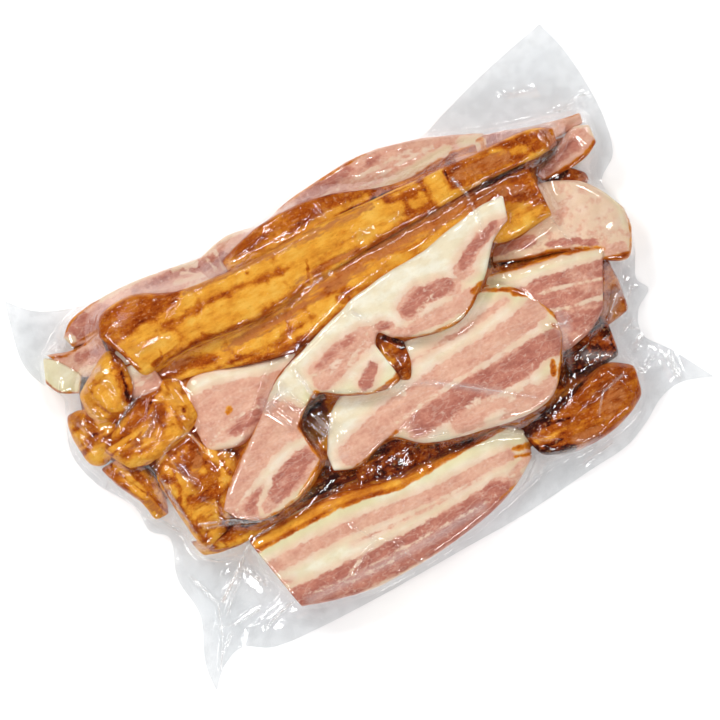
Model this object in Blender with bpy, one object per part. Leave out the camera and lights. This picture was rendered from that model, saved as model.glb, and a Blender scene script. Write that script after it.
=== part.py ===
"""A clear vacuum pouch of smoked bacon pieces, lying flat with its filled side up.

Lengths are in metres and +Z is up. The pouch's length runs along +X and its width along +Y.
The origin is on the surface that the pack lies on, under the middle of its bounding box.
Each piece of bacon is a loft: a rounded section carried between the piece's back edge and
its front edge. The pouch is one solid, its flat margin and the bed in which the pieces sit.
"""

import bmesh
import bpy
import numpy as np

MM = 0.001

# Clearances and the pouch's own heights, in mm.
GAP = 0.35
MARGIN_THICKNESS = 1.2
MARGIN_LIFT = 3.0
EAR_LIFT = 9.0
FOOT_HEIGHT = 7.0
BED_HEIGHT = 21.0
BED_STEPS = ((0.0, 0.0), (0.1, 0.62), (0.3, 0.92), (0.62, 1.0))
FLAT_SHARE = 0.94

# A piece's section is read at these angles from its back edge, over its top and round below.
# Its power says how round it is: 2 is an ellipse, a higher power is squarer.
SECTION_ANGLES = (10, 45, 90, 135, 170, 225, 315)
FEWEST_RINGS = 6
SLAB_POWER = 4.0
SLICE_POWER = 5.0
CHUNK_POWER = 2.8
END_SHRINK = (0.5, 0.86)
END_SHARE = 0.035

# Places in the plan are in mm from the middle of the heap. Each row round the pouch holds a
# point on the film's edge, then the point where the film meets the foot of the heap.
POUCH_EDGE = (
    (-156, 124, -146, 91), (-145, 111.5, -139, 94.5), (-130, 104, -132, 97),
    (-112, 99.5, -114, 97.5), (-85, 98.5, -85, 96.5), (-50, 93.5, -50, 91.5),
    (-30, 96.5, -30, 94.5), (-10, 93.5, -10, 91.5), (20, 97.5, 20, 95.5),
    (60, 98.5, 60, 96.5), (88, 92, 84, 89.5), (105, 96.5, 98, 85.5),
    (130, 104, 112, 81), (155, 110, 128, 75), (177, 114.5, 142, 71),
    (182, 95, 158, 67), (184, 70, 172, 62), (183, 50, 174, 52),
    (178, 32, 172, 40), (165, 21, 162, 22), (169, 3, 167, 3),
    (164, -18, 160, -18), (156, -34, 147, -30), (159, -43, 142, -44),
    (148, -51, 134, -53), (144, -64, 132, -61), (154, -79, 133, -70),
    (167, -103, 132, -78), (150, -97, 130, -87), (136, -99, 124, -96),
    (122, -107, 111, -102), (105, -113.5, 92, -103), (80, -115.5, 72, -102),
    (40, -119, 38, -107), (0, -119.5, 0, -113.5), (-50, -120, -55, -114.5),
    (-90, -119, -85, -108), (-118, -116, -95, -101), (-134, -107.5, -100, -88),
    (-148, -112, -106, -74), (-158, -122, -111, -66), (-156, -105, -117, -62),
    (-146, -81, -124, -58), (-147, -57, -132, -51), (-140, -36, -132, -38),
    (-148, -26, -142, -23), (-149, -10, -147, -8), (-161, 11, -156, 12),
    (-165, 32, -160, 32), (-158, 51, -157, 50), (-154, 62, -152, 62),
    (-161, 75, -158, 74), (-164, 92, -154, 84),
)

# Each row across a piece holds a point on its back edge, then one on its front edge.
DIAGONAL_EDGES = (
    (-105, -36, -101, -43), (-96, -26, -88, -51), (-78, -12, -66, -49),
    (-62, 0, -46, -38), (-50, 10, -46, -16), (-38, 16, -30, -5),
    (-20, 22, -14, -14), (-4, 27, 2, -21), (5, 29, 14, -19),
    (10, 31, 11, 0), (15, 32, 16, 8), (24, 33, 23, 1),
    (38, 34.3, 38, -6), (58, 35, 60, -8), (75, 39, 80, 5),
    (95, 42, 95, 21), (112, 41, 108, 28),
)
CENTRE_EDGES = (
    (-41, -36, -42, -46), (-26, -16, -28, -50), (-4, -8, -6, -45),
    (12, -2, 10, -57), (45, -2, 42, -67), (75, 3, 72, -71),
    (93, -6, 88, -65), (106, -28, 104, -42),
)
MAIN_EDGES = (
    (-119, 80, -111, 62), (-112, 90, -107, 50), (-92, 91, -90, 50),
    (-70, 82, -70, 50), (-40, 77.5, -35, 46), (0, 76, 0, 48.5),
    (40, 74, 40, 51), (100, 69, 100, 52), (140, 66, 138, 50), (154, 60, 152, 51),
)
FRONT_EDGES = (
    (-104, 48, -99, 38), (-80, 51, -78, 35), (-40, 47, -48, 25),
    (-10, 48, -20, 22), (30, 51, 25, 31), (75, 52, 75, 33),
    (105, 52, 100, 19), (132, 50, 131, 19),
)
BACK_EDGES = (
    (-40, 84, -40, 74), (-20, 90, -20, 73), (5, 91.5, 5, 72), (30, 87, 30, 70),
    (58, 77, 58, 66), (80, 73, 80, 62), (99, 75, 99, 62),
)
LEFT_MID_EDGES = (
    (-97, 22, -98, -4), (-90, 34, -92, -6), (-76, 36, -78, -10),
    (-55, 28, -58, -2), (-30, 22, -34, 4), (-16, 22, -18, 12),
)
BOTTOM_EDGES = (
    (-102, -58, -94, -103), (-80, -56, -76, -109), (-50, -57, -50, -114),
    (-15, -66, -18, -114), (20, -69, 20, -109), (50, -70, 42, -102), (62, -80, 57, -93),
)
RIGHT_FRONT_EDGES = (
    (58, -78, 62, -94), (75, -74, 78, -101), (100, -70, 98, -102),
    (118, -67, 117, -98), (131, -76, 127, -92),
)
LEFT_FRONT_EDGES = (
    (-122, 8, -104, 12), (-129, -4, -97, 0), (-128, -20, -86, -16),
    (-127, -38, -102, -34), (-123, -50, -112, -46),
)
FAR_RIGHT_EDGES = (
    (86, 18, 87, 12), (108, 26, 104, 5), (130, 37, 127, -3),
    (150, 30, 147, -19), (161, 18, 158, -22), (168, 3, 167, -8),
)

# One row for each piece, the topmost first, because an upper piece presses its shape into
# those under it: name, finish, section power, edges, lowest height, top heights along it.
PIECES = (
    ("slice_diagonal", "cut_face", SLICE_POWER, DIAGONAL_EDGES, 30, (36, 42, 48, 50, 49, 44)),
    ("crust_peg", "smoked_lean", CHUNK_POWER,
     ((9, 4, 12, -19), (18, 10, 19, -22), (27, 3, 25, -14)), 22, (41, 44, 40)),
    ("slice_centre", "cut_face", SLICE_POWER, CENTRE_EDGES, 21, (33, 37, 39, 40, 38, 35)),
    ("slab_main", "smoked_fat", SLAB_POWER, MAIN_EDGES, 4, (42, 49, 50, 50, 49, 40)),
    ("slab_front", "smoked_fat", SLAB_POWER, FRONT_EDGES, 4, (34, 40, 43, 42, 38)),
    ("slab_back", "smoked_lean", SLAB_POWER, BACK_EDGES, 6, (34, 42, 43, 38, 30)),
    ("slice_left_mid", "cut_face", SLICE_POWER, LEFT_MID_EDGES, 6, (32, 36, 37, 36, 34)),
    ("chunk_left_mid", "smoked_fat", CHUNK_POWER,
     ((-147, 24, -139, 10), (-133, 34, -128, 5), (-112, 43, -108, 10),
      (-97, 42, -95, 15), (-92, 32, -92, 20)), 4, (28, 37, 40, 38)),
    ("chunk_left_top", "smoked_fat", CHUNK_POWER,
     ((-143, 57, -144, 46), (-131, 64, -134, 36), (-119, 70, -123, 42),
      (-113, 62, -116, 50)), 4, (30, 39, 41, 38)),
    ("pale_slice_left", "cut_face", SLICE_POWER,
     ((-121, 66, -120, 41), (-111, 70, -110, 39), (-102, 62, -100, 40)), 4, (32, 37, 38)),
    ("slab_bottom", "cut_face", SLAB_POWER, BOTTOM_EDGES, 3, (26, 30, 32, 32, 28, 20)),
    ("chunk_left_front", "smoked_fat", CHUNK_POWER, LEFT_FRONT_EDGES, 4, (30, 36, 35, 30, 22)),
    ("chunk_right_front", "smoked_lean", CHUNK_POWER, RIGHT_FRONT_EDGES, 3,
     (24, 30, 33, 33, 26)),
    ("slice_right", "cut_face", SLICE_POWER,
     ((76, 8, 78, -44), (100, 3, 98, -50), (124, -2, 117, -48), (147, -10, 130, -41)),
     4, (32, 34, 34, 30)),
    ("end_slice_right", "cut_face", SLICE_POWER,
     ((134, 42, 136, 37), (148, 48, 150, 36), (163, 55, 163, 37.5), (173, 52, 172, 42)),
     5, (24, 27, 27, 23)),
    ("slice_far_right", "cut_face", SLICE_POWER, FAR_RIGHT_EDGES, 4, (24, 28, 29, 28, 24, 18)),
    ("back_slice_right", "cut_face", SLICE_POWER,
     ((-14, 90, -13, 80), (10, 96, 12, 78), (55, 98, 50, 73), (85, 91, 85, 67),
      (120, 76, 114, 66)), 3, (26, 31, 31, 29, 24)),
    ("strip_back_right", "cut_face", SLICE_POWER,
     ((104, 79, 103, 68), (130, 72, 128, 62), (155, 64, 152, 55), (172, 60, 171, 55)),
     4, (24, 26, 24, 18)),
    ("back_slice_left", "cut_face", SLICE_POWER,
     ((-137, 90, -135, 83), (-125, 98, -118, 79), (-95, 98.5, -90, 80), (-48, 92, -46, 76)),
     3, (20, 25, 27, 24)),
    ("back_slice_middle", "cut_face", SLICE_POWER,
     ((-54, 90, -53, 78), (-32, 95.5, -32, 76), (-6, 90, -7, 77)), 3, (24, 28, 26)),
    ("chip_dark_right", "smoked_lean", CHUNK_POWER,
     ((137, 34, 141, 28), (149, 38, 150, 24), (159, 31, 159, 25)), 4, (20, 25, 18)),
    ("chunk_left_outer", "smoked_lean", CHUNK_POWER,
     ((-159, 40, -158, 24), (-156, 50, -150, 18), (-147, 49, -141, 24),
      (-136, 41, -134, 34)), 3, (18, 26, 30, 30)),
    ("tag_left", "pale_fat", SLICE_POWER,
     ((-153, 85, -158, 73), (-146, 80, -154, 65), (-138, 67, -144, 59)), 3, (14, 20, 24)),
    ("flap_left_back", "cut_face", SLICE_POWER,
     ((-150, 86, -146, 79), (-135, 81, -138, 66), (-118, 83, -120, 64)), 3, (16, 22, 28)),
    ("flap_left_lower", "smoked_fat", CHUNK_POWER,
     ((-155, 16, -141, 16), (-150, 4, -134, 4), (-143, -10, -131, -8),
      (-141, -22, -134, -22)), 3, (20, 26, 24, 16)),
    ("strip_bottom_left", "smoked_fat", CHUNK_POWER,
     ((-131, -42, -128, -52), (-118, -46, -112, -57), (-95, -47, -92, -58),
      (-72, -50, -70, -57)), 4, (16, 25, 27, 24)),
    ("chunk_dark_centre", "smoked_lean", CHUNK_POWER,
     ((-34, -44, -33, -62), (-12, -42, -12, -66), (10, -48, 12, -68), (34, -58, 34, -70)),
     5, (26, 30, 29, 24)),
    ("strip_dark", "smoked_lean", CHUNK_POWER,
     ((-72, -42, -68, -54), (-48, -40, -46, -56), (-30, -44, -32, -57)), 5, (24, 27, 26)),
    ("chunk_right_mid", "smoked_lean", CHUNK_POWER,
     ((98, -48, 98, -66), (114, -46, 114, -68), (130, -46, 127, -66)), 4, (24, 28, 22)),
    ("chunk_right_small", "smoked_lean", CHUNK_POWER,
     ((132, -14, 148, -18), (128, -30, 146, -34), (127, -50, 142, -48)), 4, (20, 21, 16)),
)

# Finishes: colour, roughness and alpha.
FINISHES = {
    "film": ((0.82, 0.84, 0.86), 0.1, 0.35),
    "smoked_fat": ((0.80, 0.36, 0.06), 0.3, 1.0),
    "smoked_lean": ((0.42, 0.11, 0.02), 0.3, 1.0),
    "cut_face": ((0.76, 0.44, 0.34), 0.35, 1.0),
    "pale_fat": ((0.85, 0.74, 0.52), 0.35, 1.0),
}


def clear_scene():
    """Removes the objects that a new file starts with."""
    for obj in list(bpy.data.objects):
        bpy.data.objects.remove(obj, do_unlink=True)


def make_collection(name):
    """A collection linked under the scene's own."""
    collection = bpy.data.collections.new(name)
    bpy.context.scene.collection.children.link(collection)
    return collection


def make_material(name):
    """A Principled material with a finish's colour, roughness and alpha."""
    colour, roughness, alpha = FINISHES[name]
    material = bpy.data.materials.new(name)
    material.use_nodes = True
    shader = material.node_tree.nodes["Principled BSDF"]
    shader.inputs["Base Color"].default_value = (*colour, 1.0)
    shader.inputs["Roughness"].default_value = roughness
    shader.inputs["Metallic"].default_value = 0.0
    shader.inputs["Alpha"].default_value = alpha
    material.diffuse_color = (*colour, 1.0)
    return material


def smooth_rows(rows, places):
    """Catmull-Rom curve through the rows, read at the given places, counted in rows."""
    rows = np.array(rows, float)
    start = np.minimum(places.astype(int), len(rows) - 2)
    t = (places - start)[:, None]
    before, here, after, beyond = (
        rows[np.clip(start + step, 0, len(rows) - 1)] for step in (-1, 0, 1, 2)
    )
    return 0.5 * (
        2 * here
        + (after - before) * t
        + (2 * before - 5 * here + 4 * after - beyond) * t**2
        + (3 * here - before - 3 * after + beyond) * t**3
    )


def pouch_middle():
    """The middle of the film's outline, which the origin lies under."""
    edge = np.array(POUCH_EDGE)[:, :2]
    return (edge.min(axis=0) + edge.max(axis=0)) / 2


def mesh_from_rings(name, rings, material, collection):
    """One closed mesh through rings of points, each ring joined to the next, both ends capped.

    Each four-sided face is split along the diagonal that is shorter in plan, so that the two
    faces of a thin margin are split alike and stay clear of each other.
    """
    count, around = rings.shape[:2]
    points = rings.reshape(-1, 3)
    index = np.arange(count * around).reshape(count, around)
    ahead = np.roll(index, -1, axis=1)
    quads = np.stack([index[:-1], ahead[:-1], ahead[1:], index[1:]], axis=-1).reshape(-1, 4)
    plan = points[quads][..., :2]
    first = np.linalg.norm(plan[:, 0] - plan[:, 2], axis=1)
    second = np.linalg.norm(plan[:, 1] - plan[:, 3], axis=1)
    turn = (second < first).astype(int)[:, None]
    turned = np.take_along_axis(quads, (np.arange(4) + turn) % 4, axis=1)
    triangles = np.concatenate([turned[:, [0, 1, 2]], turned[:, [0, 2, 3]]])
    faces = triangles.tolist() + [index[0][::-1].tolist(), index[-1].tolist()]
    mesh = bpy.data.meshes.new(name)
    mesh.from_pydata((points * MM).tolist(), [], faces)
    edit = bmesh.new()
    edit.from_mesh(mesh)
    bmesh.ops.triangulate(edit, faces=edit.faces)
    bmesh.ops.recalc_face_normals(edit, faces=edit.faces)
    edit.to_mesh(mesh)
    edit.free()
    mesh.materials.append(material)
    obj = bpy.data.objects.new(name, mesh)
    collection.objects.link(obj)
    return obj


def make_piece(name, material, power, edges, low, tops, middle, collection):
    """A rounded section carried between a piece's back and front edges, its ends drawn in."""
    inner = np.linspace(0, 1, max(len(edges), FEWEST_RINGS))[1:-1]
    along = np.concatenate([[0, END_SHARE], inner, [1 - END_SHARE, 1]])
    rows = smooth_rows(edges, along * (len(edges) - 1))
    back = rows[:, :2] - middle
    front = rows[:, 2:] - middle
    top = np.interp(along, np.linspace(0, 1, len(tops)), tops)
    shrink = np.ones(len(along))
    shrink[[0, -1]] = END_SHRINK[0]
    shrink[[1, -2]] = END_SHRINK[1]
    angle = np.radians(SECTION_ANGLES)
    across = np.sign(np.cos(angle)) * np.abs(np.cos(angle)) ** (2 / power)
    upward = np.sign(np.sin(angle)) * np.abs(np.sin(angle)) ** (2 / power)
    plan = (back + front)[:, None] / 2 + (
        (back - front)[:, None] / 2 * across[None, :, None] * shrink[:, None, None]
    )
    height = (top + low)[:, None] / 2 + (top - low)[:, None] / 2 * upward * shrink[:, None]
    rings = np.concatenate([plan, height[..., None]], axis=-1)
    return mesh_from_rings(name, rings, material, collection)


def make_pouch(material, middle, collection):
    """The flat margin with its four ears, and the bed under and between the pieces."""
    rows = np.array(POUCH_EDGE)
    edge = rows[:, :2] - middle
    foot = rows[:, 2:] - middle
    half = np.abs(edge).max(axis=0)
    corner = np.prod((edge / half) ** 2, axis=1)
    lift = MARGIN_LIFT + EAR_LIFT * corner
    hub = foot.mean(axis=0)

    def ring(plan, height):
        return np.column_stack([plan, np.broadcast_to(height, len(plan))])

    rings = [ring(hub + (foot - hub) * FLAT_SHARE, 0.0)]
    rings.append(ring(foot, MARGIN_LIFT - MARGIN_THICKNESS))
    rings.append(ring(edge, lift - MARGIN_THICKNESS))
    rings.append(ring(edge, lift))
    for inward, share in BED_STEPS:
        height = FOOT_HEIGHT + (BED_HEIGHT - FOOT_HEIGHT) * share
        rings.append(ring(hub + (foot - hub) * (1 - inward), height))
    return mesh_from_rings("pouch", np.array(rings), material, collection)


def make_cutter(obj, collection):
    """A copy of a piece with each point moved out by the gap, which makes room for it."""
    mesh = obj.data.copy()
    points = np.empty(len(mesh.vertices) * 3, np.float32)
    normals = np.empty(len(mesh.vertices) * 3, np.float32)
    mesh.vertices.foreach_get("co", points)
    mesh.vertices.foreach_get("normal", normals)
    mesh.vertices.foreach_set("co", points + normals * GAP * MM)
    mesh.update()
    cutter = bpy.data.objects.new(obj.name + "_room", mesh)
    cutter.hide_render = True
    cutter.display_type = "WIRE"
    collection.objects.link(cutter)
    return cutter


def box_of(obj):
    """The lowest and highest corners of an object that sits at the origin."""
    corners = np.array([tuple(corner) for corner in obj.bound_box])
    return corners.min(axis=0), corners.max(axis=0)


def boxes_meet(one, other):
    """Whether two objects' bounding boxes overlap."""
    low_one, high_one = box_of(one)
    low_other, high_other = box_of(other)
    return bool((low_one < high_other).all() and (low_other < high_one).all())


def keep_largest_body(edit):
    """Deletes every loose part of the mesh but the one with the most faces."""
    left = set(edit.faces)
    bodies = []
    while left:
        body = {left.pop()}
        front = list(body)
        while front:
            face = front.pop()
            for edge in face.edges:
                for other in edge.link_faces:
                    if other in left:
                        left.remove(other)
                        body.add(other)
                        front.append(other)
        bodies.append(body)
    bodies.sort(key=len)
    spare = [face for body in bodies[:-1] for face in body]
    bmesh.ops.delete(edit, geom=spare, context="FACES")


def make_room(obj, cutters):
    """Cuts the pieces that press on this one out of it, and keeps it one clean body."""
    for cutter in cutters:
        if boxes_meet(obj, cutter):
            modifier = obj.modifiers.new(cutter.name, "BOOLEAN")
            modifier.operation = "DIFFERENCE"
            modifier.solver = "EXACT"
            modifier.object = cutter
    bpy.context.view_layer.update()
    graph = bpy.context.evaluated_depsgraph_get()
    mesh = bpy.data.meshes.new_from_object(obj.evaluated_get(graph))
    edit = bmesh.new()
    edit.from_mesh(mesh)
    bmesh.ops.remove_doubles(edit, verts=edit.verts, dist=0.002 * MM)
    bmesh.ops.dissolve_degenerate(edit, edges=edit.edges, dist=0.002 * MM)
    bmesh.ops.triangulate(edit, faces=edit.faces)
    keep_largest_body(edit)
    edit.to_mesh(mesh)
    edit.free()
    obj.modifiers.clear()
    obj.data = mesh
    mesh.name = obj.name


def main():
    clear_scene()
    pack = make_collection("bacon_pack")
    helpers = make_collection("cutters")
    materials = {name: make_material(name) for name in FINISHES}
    middle = pouch_middle()
    pieces = [
        make_piece(name, materials[finish], power, edges, low, tops, middle, pack)
        for name, finish, power, edges, low, tops in PIECES
    ]
    pouch = make_pouch(materials["film"], middle, pack)
    bpy.context.view_layer.update()
    cutters = [make_cutter(piece, helpers) for piece in pieces]
    for place, piece in enumerate(pieces):
        make_room(piece, cutters[:place])
    make_room(pouch, cutters)


main()
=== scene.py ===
# %% [markdown]
# # A vacuum pack of smoked bacon pieces
# A butcher fills a clear pouch with odd slabs, slices and chunks of smoked pork belly, draws the
# air out and welds it shut. What the eye sees is bacon pressed under a tight, shiny film with a
# thin grey margin and four pointed ears. The solids of the pieces and of the pouch come in as a
# fixed frame, and this lesson dresses them: fine meat surfaces, marbling, smoke and the film.
# All shapes are worked out in millimetres and turned into metres when a mesh is made.

import bpy
import numpy as np
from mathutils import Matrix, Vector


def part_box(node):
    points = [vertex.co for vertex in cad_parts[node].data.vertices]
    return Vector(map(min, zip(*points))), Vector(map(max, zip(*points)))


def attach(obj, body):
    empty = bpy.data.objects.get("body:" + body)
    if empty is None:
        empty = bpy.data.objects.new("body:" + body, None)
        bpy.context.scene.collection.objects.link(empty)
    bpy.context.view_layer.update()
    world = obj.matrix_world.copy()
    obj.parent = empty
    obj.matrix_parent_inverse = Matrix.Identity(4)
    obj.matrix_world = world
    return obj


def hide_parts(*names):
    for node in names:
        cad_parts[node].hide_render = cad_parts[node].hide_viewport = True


MM = 0.001
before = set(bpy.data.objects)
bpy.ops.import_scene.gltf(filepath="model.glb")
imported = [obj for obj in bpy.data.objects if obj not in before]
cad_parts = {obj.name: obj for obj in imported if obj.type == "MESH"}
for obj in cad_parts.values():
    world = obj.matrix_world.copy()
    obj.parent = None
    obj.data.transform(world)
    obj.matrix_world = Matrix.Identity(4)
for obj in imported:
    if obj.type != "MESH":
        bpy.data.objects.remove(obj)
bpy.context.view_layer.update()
pouch_low, pouch_high = (np.array(corner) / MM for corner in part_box("pouch"))
print("pouch solid, mm:", np.round(pouch_high - pouch_low, 1))

# %% [markdown]
# ## Ways to make a surface
# Every piece is a skin: rings of points carried along it, with one point at each end to close it.
# The film is a grid with open edges. Both are filled with `foreach_set`, so that no loop visits
# the points one by one. Each maker also takes named values for the points, which the materials
# read later as attributes.

# %% Meshes from arrays
TABLE_LENGTH = 4096  # random values, used again and again
LATTICE_KEYS = (73856093, 19349663, 83492791)  # large odd numbers that scatter the cells


def new_mesh(name, points, quads, triangles, values, material):
    """An object from points in mm, its four- and three-sided faces and its point attributes."""
    mesh = bpy.data.meshes.new(name)
    corners = np.concatenate([quads.ravel(), triangles.ravel()]).astype(np.int32)
    sizes = np.concatenate([np.full(len(quads), 4), np.full(len(triangles), 3)])
    starts = np.concatenate([[0], np.cumsum(sizes)[:-1]]).astype(np.int32)
    mesh.vertices.add(len(points))
    mesh.vertices.foreach_set("co", (points * MM).astype(np.float32).ravel())
    mesh.loops.add(len(corners))
    mesh.loops.foreach_set("vertex_index", corners)
    mesh.polygons.add(len(starts))
    mesh.polygons.foreach_set("loop_start", starts)
    mesh.polygons.foreach_set("use_smooth", np.ones(len(starts), bool))
    for key, value in values.items():
        attribute = mesh.attributes.new(key, "FLOAT", "POINT")
        attribute.data.foreach_set("value", value.astype(np.float32).ravel())
    mesh.update(calc_edges=True)
    mesh.validate()
    mesh.materials.append(material)
    obj = bpy.data.objects.new(name, mesh)
    bpy.context.scene.collection.objects.link(obj)
    return obj


def closed_skin(rings):
    """Points and faces of a skin. Point 0 is the middle of the first ring and closes that end,
    then come the rings, and the middle of the last ring closes the other end."""
    count, around = rings.shape[:2]
    poles = rings[[0, -1]].mean(axis=1)
    points = np.concatenate([poles[:1], rings.reshape(-1, 3), poles[1:]])
    index = 1 + np.arange(count * around).reshape(count, around)
    ahead = np.roll(index, -1, axis=1)
    quads = np.stack([index[:-1], ahead[:-1], ahead[1:], index[1:]], axis=-1).reshape(-1, 4)
    first = np.stack([np.zeros(around, int), ahead[0], index[0]], axis=-1)
    last = np.stack([np.full(around, len(points) - 1), index[-1], ahead[-1]], axis=-1)
    return points, quads, np.concatenate([first, last])


def grid_faces(rows, columns):
    """Four-sided faces of an open grid, facing up when columns run along X and rows along Y."""
    index = np.arange(rows * columns).reshape(rows, columns)
    corners = [index[:-1, :-1], index[:-1, 1:], index[1:, 1:], index[1:, :-1]]
    return np.stack(corners, axis=-1).reshape(-1, 4)


def smooth_rows(rows, places):
    """Catmull-Rom curve through the rows, read at places counted in rows: a cubic between two
    rows whose slope at each row is half the step from the row before to the row after."""
    rows = np.array(rows, float)
    start = np.minimum(places.astype(int), len(rows) - 2)
    t = (places - start)[:, None]
    before, here, after, beyond = (
        rows[np.clip(start + step, 0, len(rows) - 1)] for step in (-1, 0, 1, 2)
    )
    return 0.5 * (
        2 * here
        + (after - before) * t
        + (2 * before - 5 * here + 4 * after - beyond) * t**2
        + (3 * here - before - 3 * after + beyond) * t**3
    )


def smooth_step(t):
    """3t^2 - 2t^3: from 0 to 1 as t does, level at both ends."""
    return t * t * (3 - 2 * t)


def lattice_values(cells, seed):
    """A random value from -1 to 1 for each whole-numbered cell, the same at every run."""
    table = np.random.default_rng(seed).uniform(-1, 1, TABLE_LENGTH)
    return table[(cells * LATTICE_KEYS[: cells.shape[-1]]).sum(axis=-1) % TABLE_LENGTH]


def lumps(points, size, seed):
    """Smooth random relief between -1 and 1: random values on a lattice of cubes of that size in
    mm, blended across each cube with the smooth step along each axis."""
    cell = points / size
    low = np.floor(cell).astype(np.int64)
    t = smooth_step(cell - low)
    total = np.zeros(points.shape[:-1])
    for corner in np.ndindex(2, 2, 2):
        total += np.where(corner, t, 1 - t).prod(axis=-1) * lattice_values(low + corner, seed)
    return total


print("surface makers ready")

# %% [markdown]
# ## The pouch's outline
# The film is a rectangle drawn out of shape: its four corners stand out as ears while the long
# sides are pulled in by the heap. Its edge is given by the points where its direction changes, in
# mm from the middle of the heap, each with the point where the film meets the heap's foot. The
# outline's own middle lies over the frame's origin, which ties these numbers to the solids.

# %% Outline of the film and foot of the heap
POUCH_EDGE = (
    (-156, 124, -146, 91), (-145, 111.5, -139, 94.5), (-130, 104, -132, 97),
    (-112, 99.5, -114, 97.5), (-85, 98.5, -85, 96.5), (-50, 93.5, -50, 91.5),
    (-30, 96.5, -30, 94.5), (-10, 93.5, -10, 91.5), (20, 97.5, 20, 95.5),
    (60, 98.5, 60, 96.5), (88, 92, 84, 89.5), (105, 96.5, 98, 85.5),
    (130, 104, 112, 81), (155, 110, 128, 75), (177, 114.5, 142, 71),
    (182, 95, 158, 67), (184, 70, 172, 62), (183, 50, 174, 52),
    (178, 32, 172, 40), (165, 21, 162, 22), (169, 3, 167, 3),
    (164, -18, 160, -18), (156, -34, 147, -30), (159, -43, 142, -44),
    (148, -51, 134, -53), (144, -64, 132, -61), (154, -79, 133, -70),
    (167, -103, 132, -78), (150, -97, 130, -87), (136, -99, 124, -96),
    (122, -107, 111, -102), (105, -113.5, 92, -103), (80, -115.5, 72, -102),
    (40, -119, 38, -107), (0, -119.5, 0, -113.5), (-50, -120, -55, -114.5),
    (-90, -119, -85, -108), (-118, -116, -95, -101), (-134, -107.5, -100, -88),
    (-148, -112, -106, -74), (-158, -122, -111, -66), (-156, -105, -117, -62),
    (-146, -81, -124, -58), (-147, -57, -132, -51), (-140, -36, -132, -38),
    (-148, -26, -142, -23), (-149, -10, -147, -8), (-161, 11, -156, 12),
    (-165, 32, -160, 32), (-158, 51, -157, 50), (-154, 62, -152, 62),
    (-161, 75, -158, 74), (-164, 92, -154, 84),
)
EARS = (0, 14, 27, 40)
edge_rows = np.array(POUCH_EDGE, float)
edge_low, edge_high = edge_rows[:, :2].min(axis=0), edge_rows[:, :2].max(axis=0)
edge_middle = (edge_low + edge_high) / 2
solid_middle = (pouch_low + pouch_high)[:2] / 2
DATUM = solid_middle - edge_middle
print("heap's middle in the frame, mm:", np.round(DATUM, 2))

# %% [markdown]
# ## How a piece of bacon is shaped
# Each piece is known by its back edge and its front edge, seen from above, and by how high it
# stands along its length. A rounded section is carried between the two edges. Near each end the
# section shrinks along a quarter of a superellipse, so the end is rounded as well. Soft meat is
# never flat, so the skin is then moved by three sizes of smooth random lumps, and smoked pieces
# get creases pressed in along them.

# %% Skin of one piece
STEP = 1.1  # mm from point to point
SECTION_POINTS, LEAST_AROUND = 4001, 24
UNDERSIDE, UNDER_PACE = -0.8, 0.4  # below this share of the half height, a step counts for less
END_ROUND, END_START, END_STATIONS = 4.5, 0.06, 8  # mm, mm, rings
LINE_POINTS, LEAST_FLAT = 200, 4
LUMPS = ((34.0, 0.8), (14.0, 0.6), (5.0, 0.25))  # size and depth in mm
MEAT_CREASES = ((15.0, 1.0), (7.0, 0.5))  # size in mm and share of the full depth
CREASE_DRAW, CREASE_SHARE, CREASE_SEED = 0.45, 0.2, 77
PIECE_FIELD = 500  # mm, where in the random field the pieces are read


def even_section(half_width, half_height, power):
    """A superellipse |x|^power + |y|^power = 1 read at even steps of its true length, and at
    wider steps on its underside: the point in a direction is that direction divided by
    (|cos|^power + |sin|^power)^(1 / power)."""
    turn = np.linspace(0, 2 * np.pi, SECTION_POINTS)
    reach = (np.abs(np.cos(turn)) ** power + np.abs(np.sin(turn)) ** power) ** (-1 / power)
    across, upward = reach * np.cos(turn), reach * np.sin(turn)
    steps = np.hypot(np.diff(across) * half_width, np.diff(upward) * half_height)
    steps = steps * np.where(upward[1:] < UNDERSIDE, UNDER_PACE, 1.0)
    run = np.concatenate([[0], np.cumsum(steps)])
    around = max(int(run[-1] / STEP), LEAST_AROUND)
    places = np.interp(np.arange(around) / around * run[-1], run, turn)
    return np.interp(places, turn, across), np.interp(places, turn, upward)


def stations(length):
    """Where the rings stand along a piece, close together on its rounded ends, and how far each
    end's rounding reaches."""
    run = min(END_ROUND, length / 3)
    bend = run * (1 - np.cos(np.linspace(0, np.pi / 2, END_STATIONS)[1:-1]))
    flat = np.linspace(run, length - run, max(int((length - 2 * run) / STEP), LEAST_FLAT))
    return np.concatenate([[END_START], bend, flat, (length - bend)[::-1], [length - END_START]]), run


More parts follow.
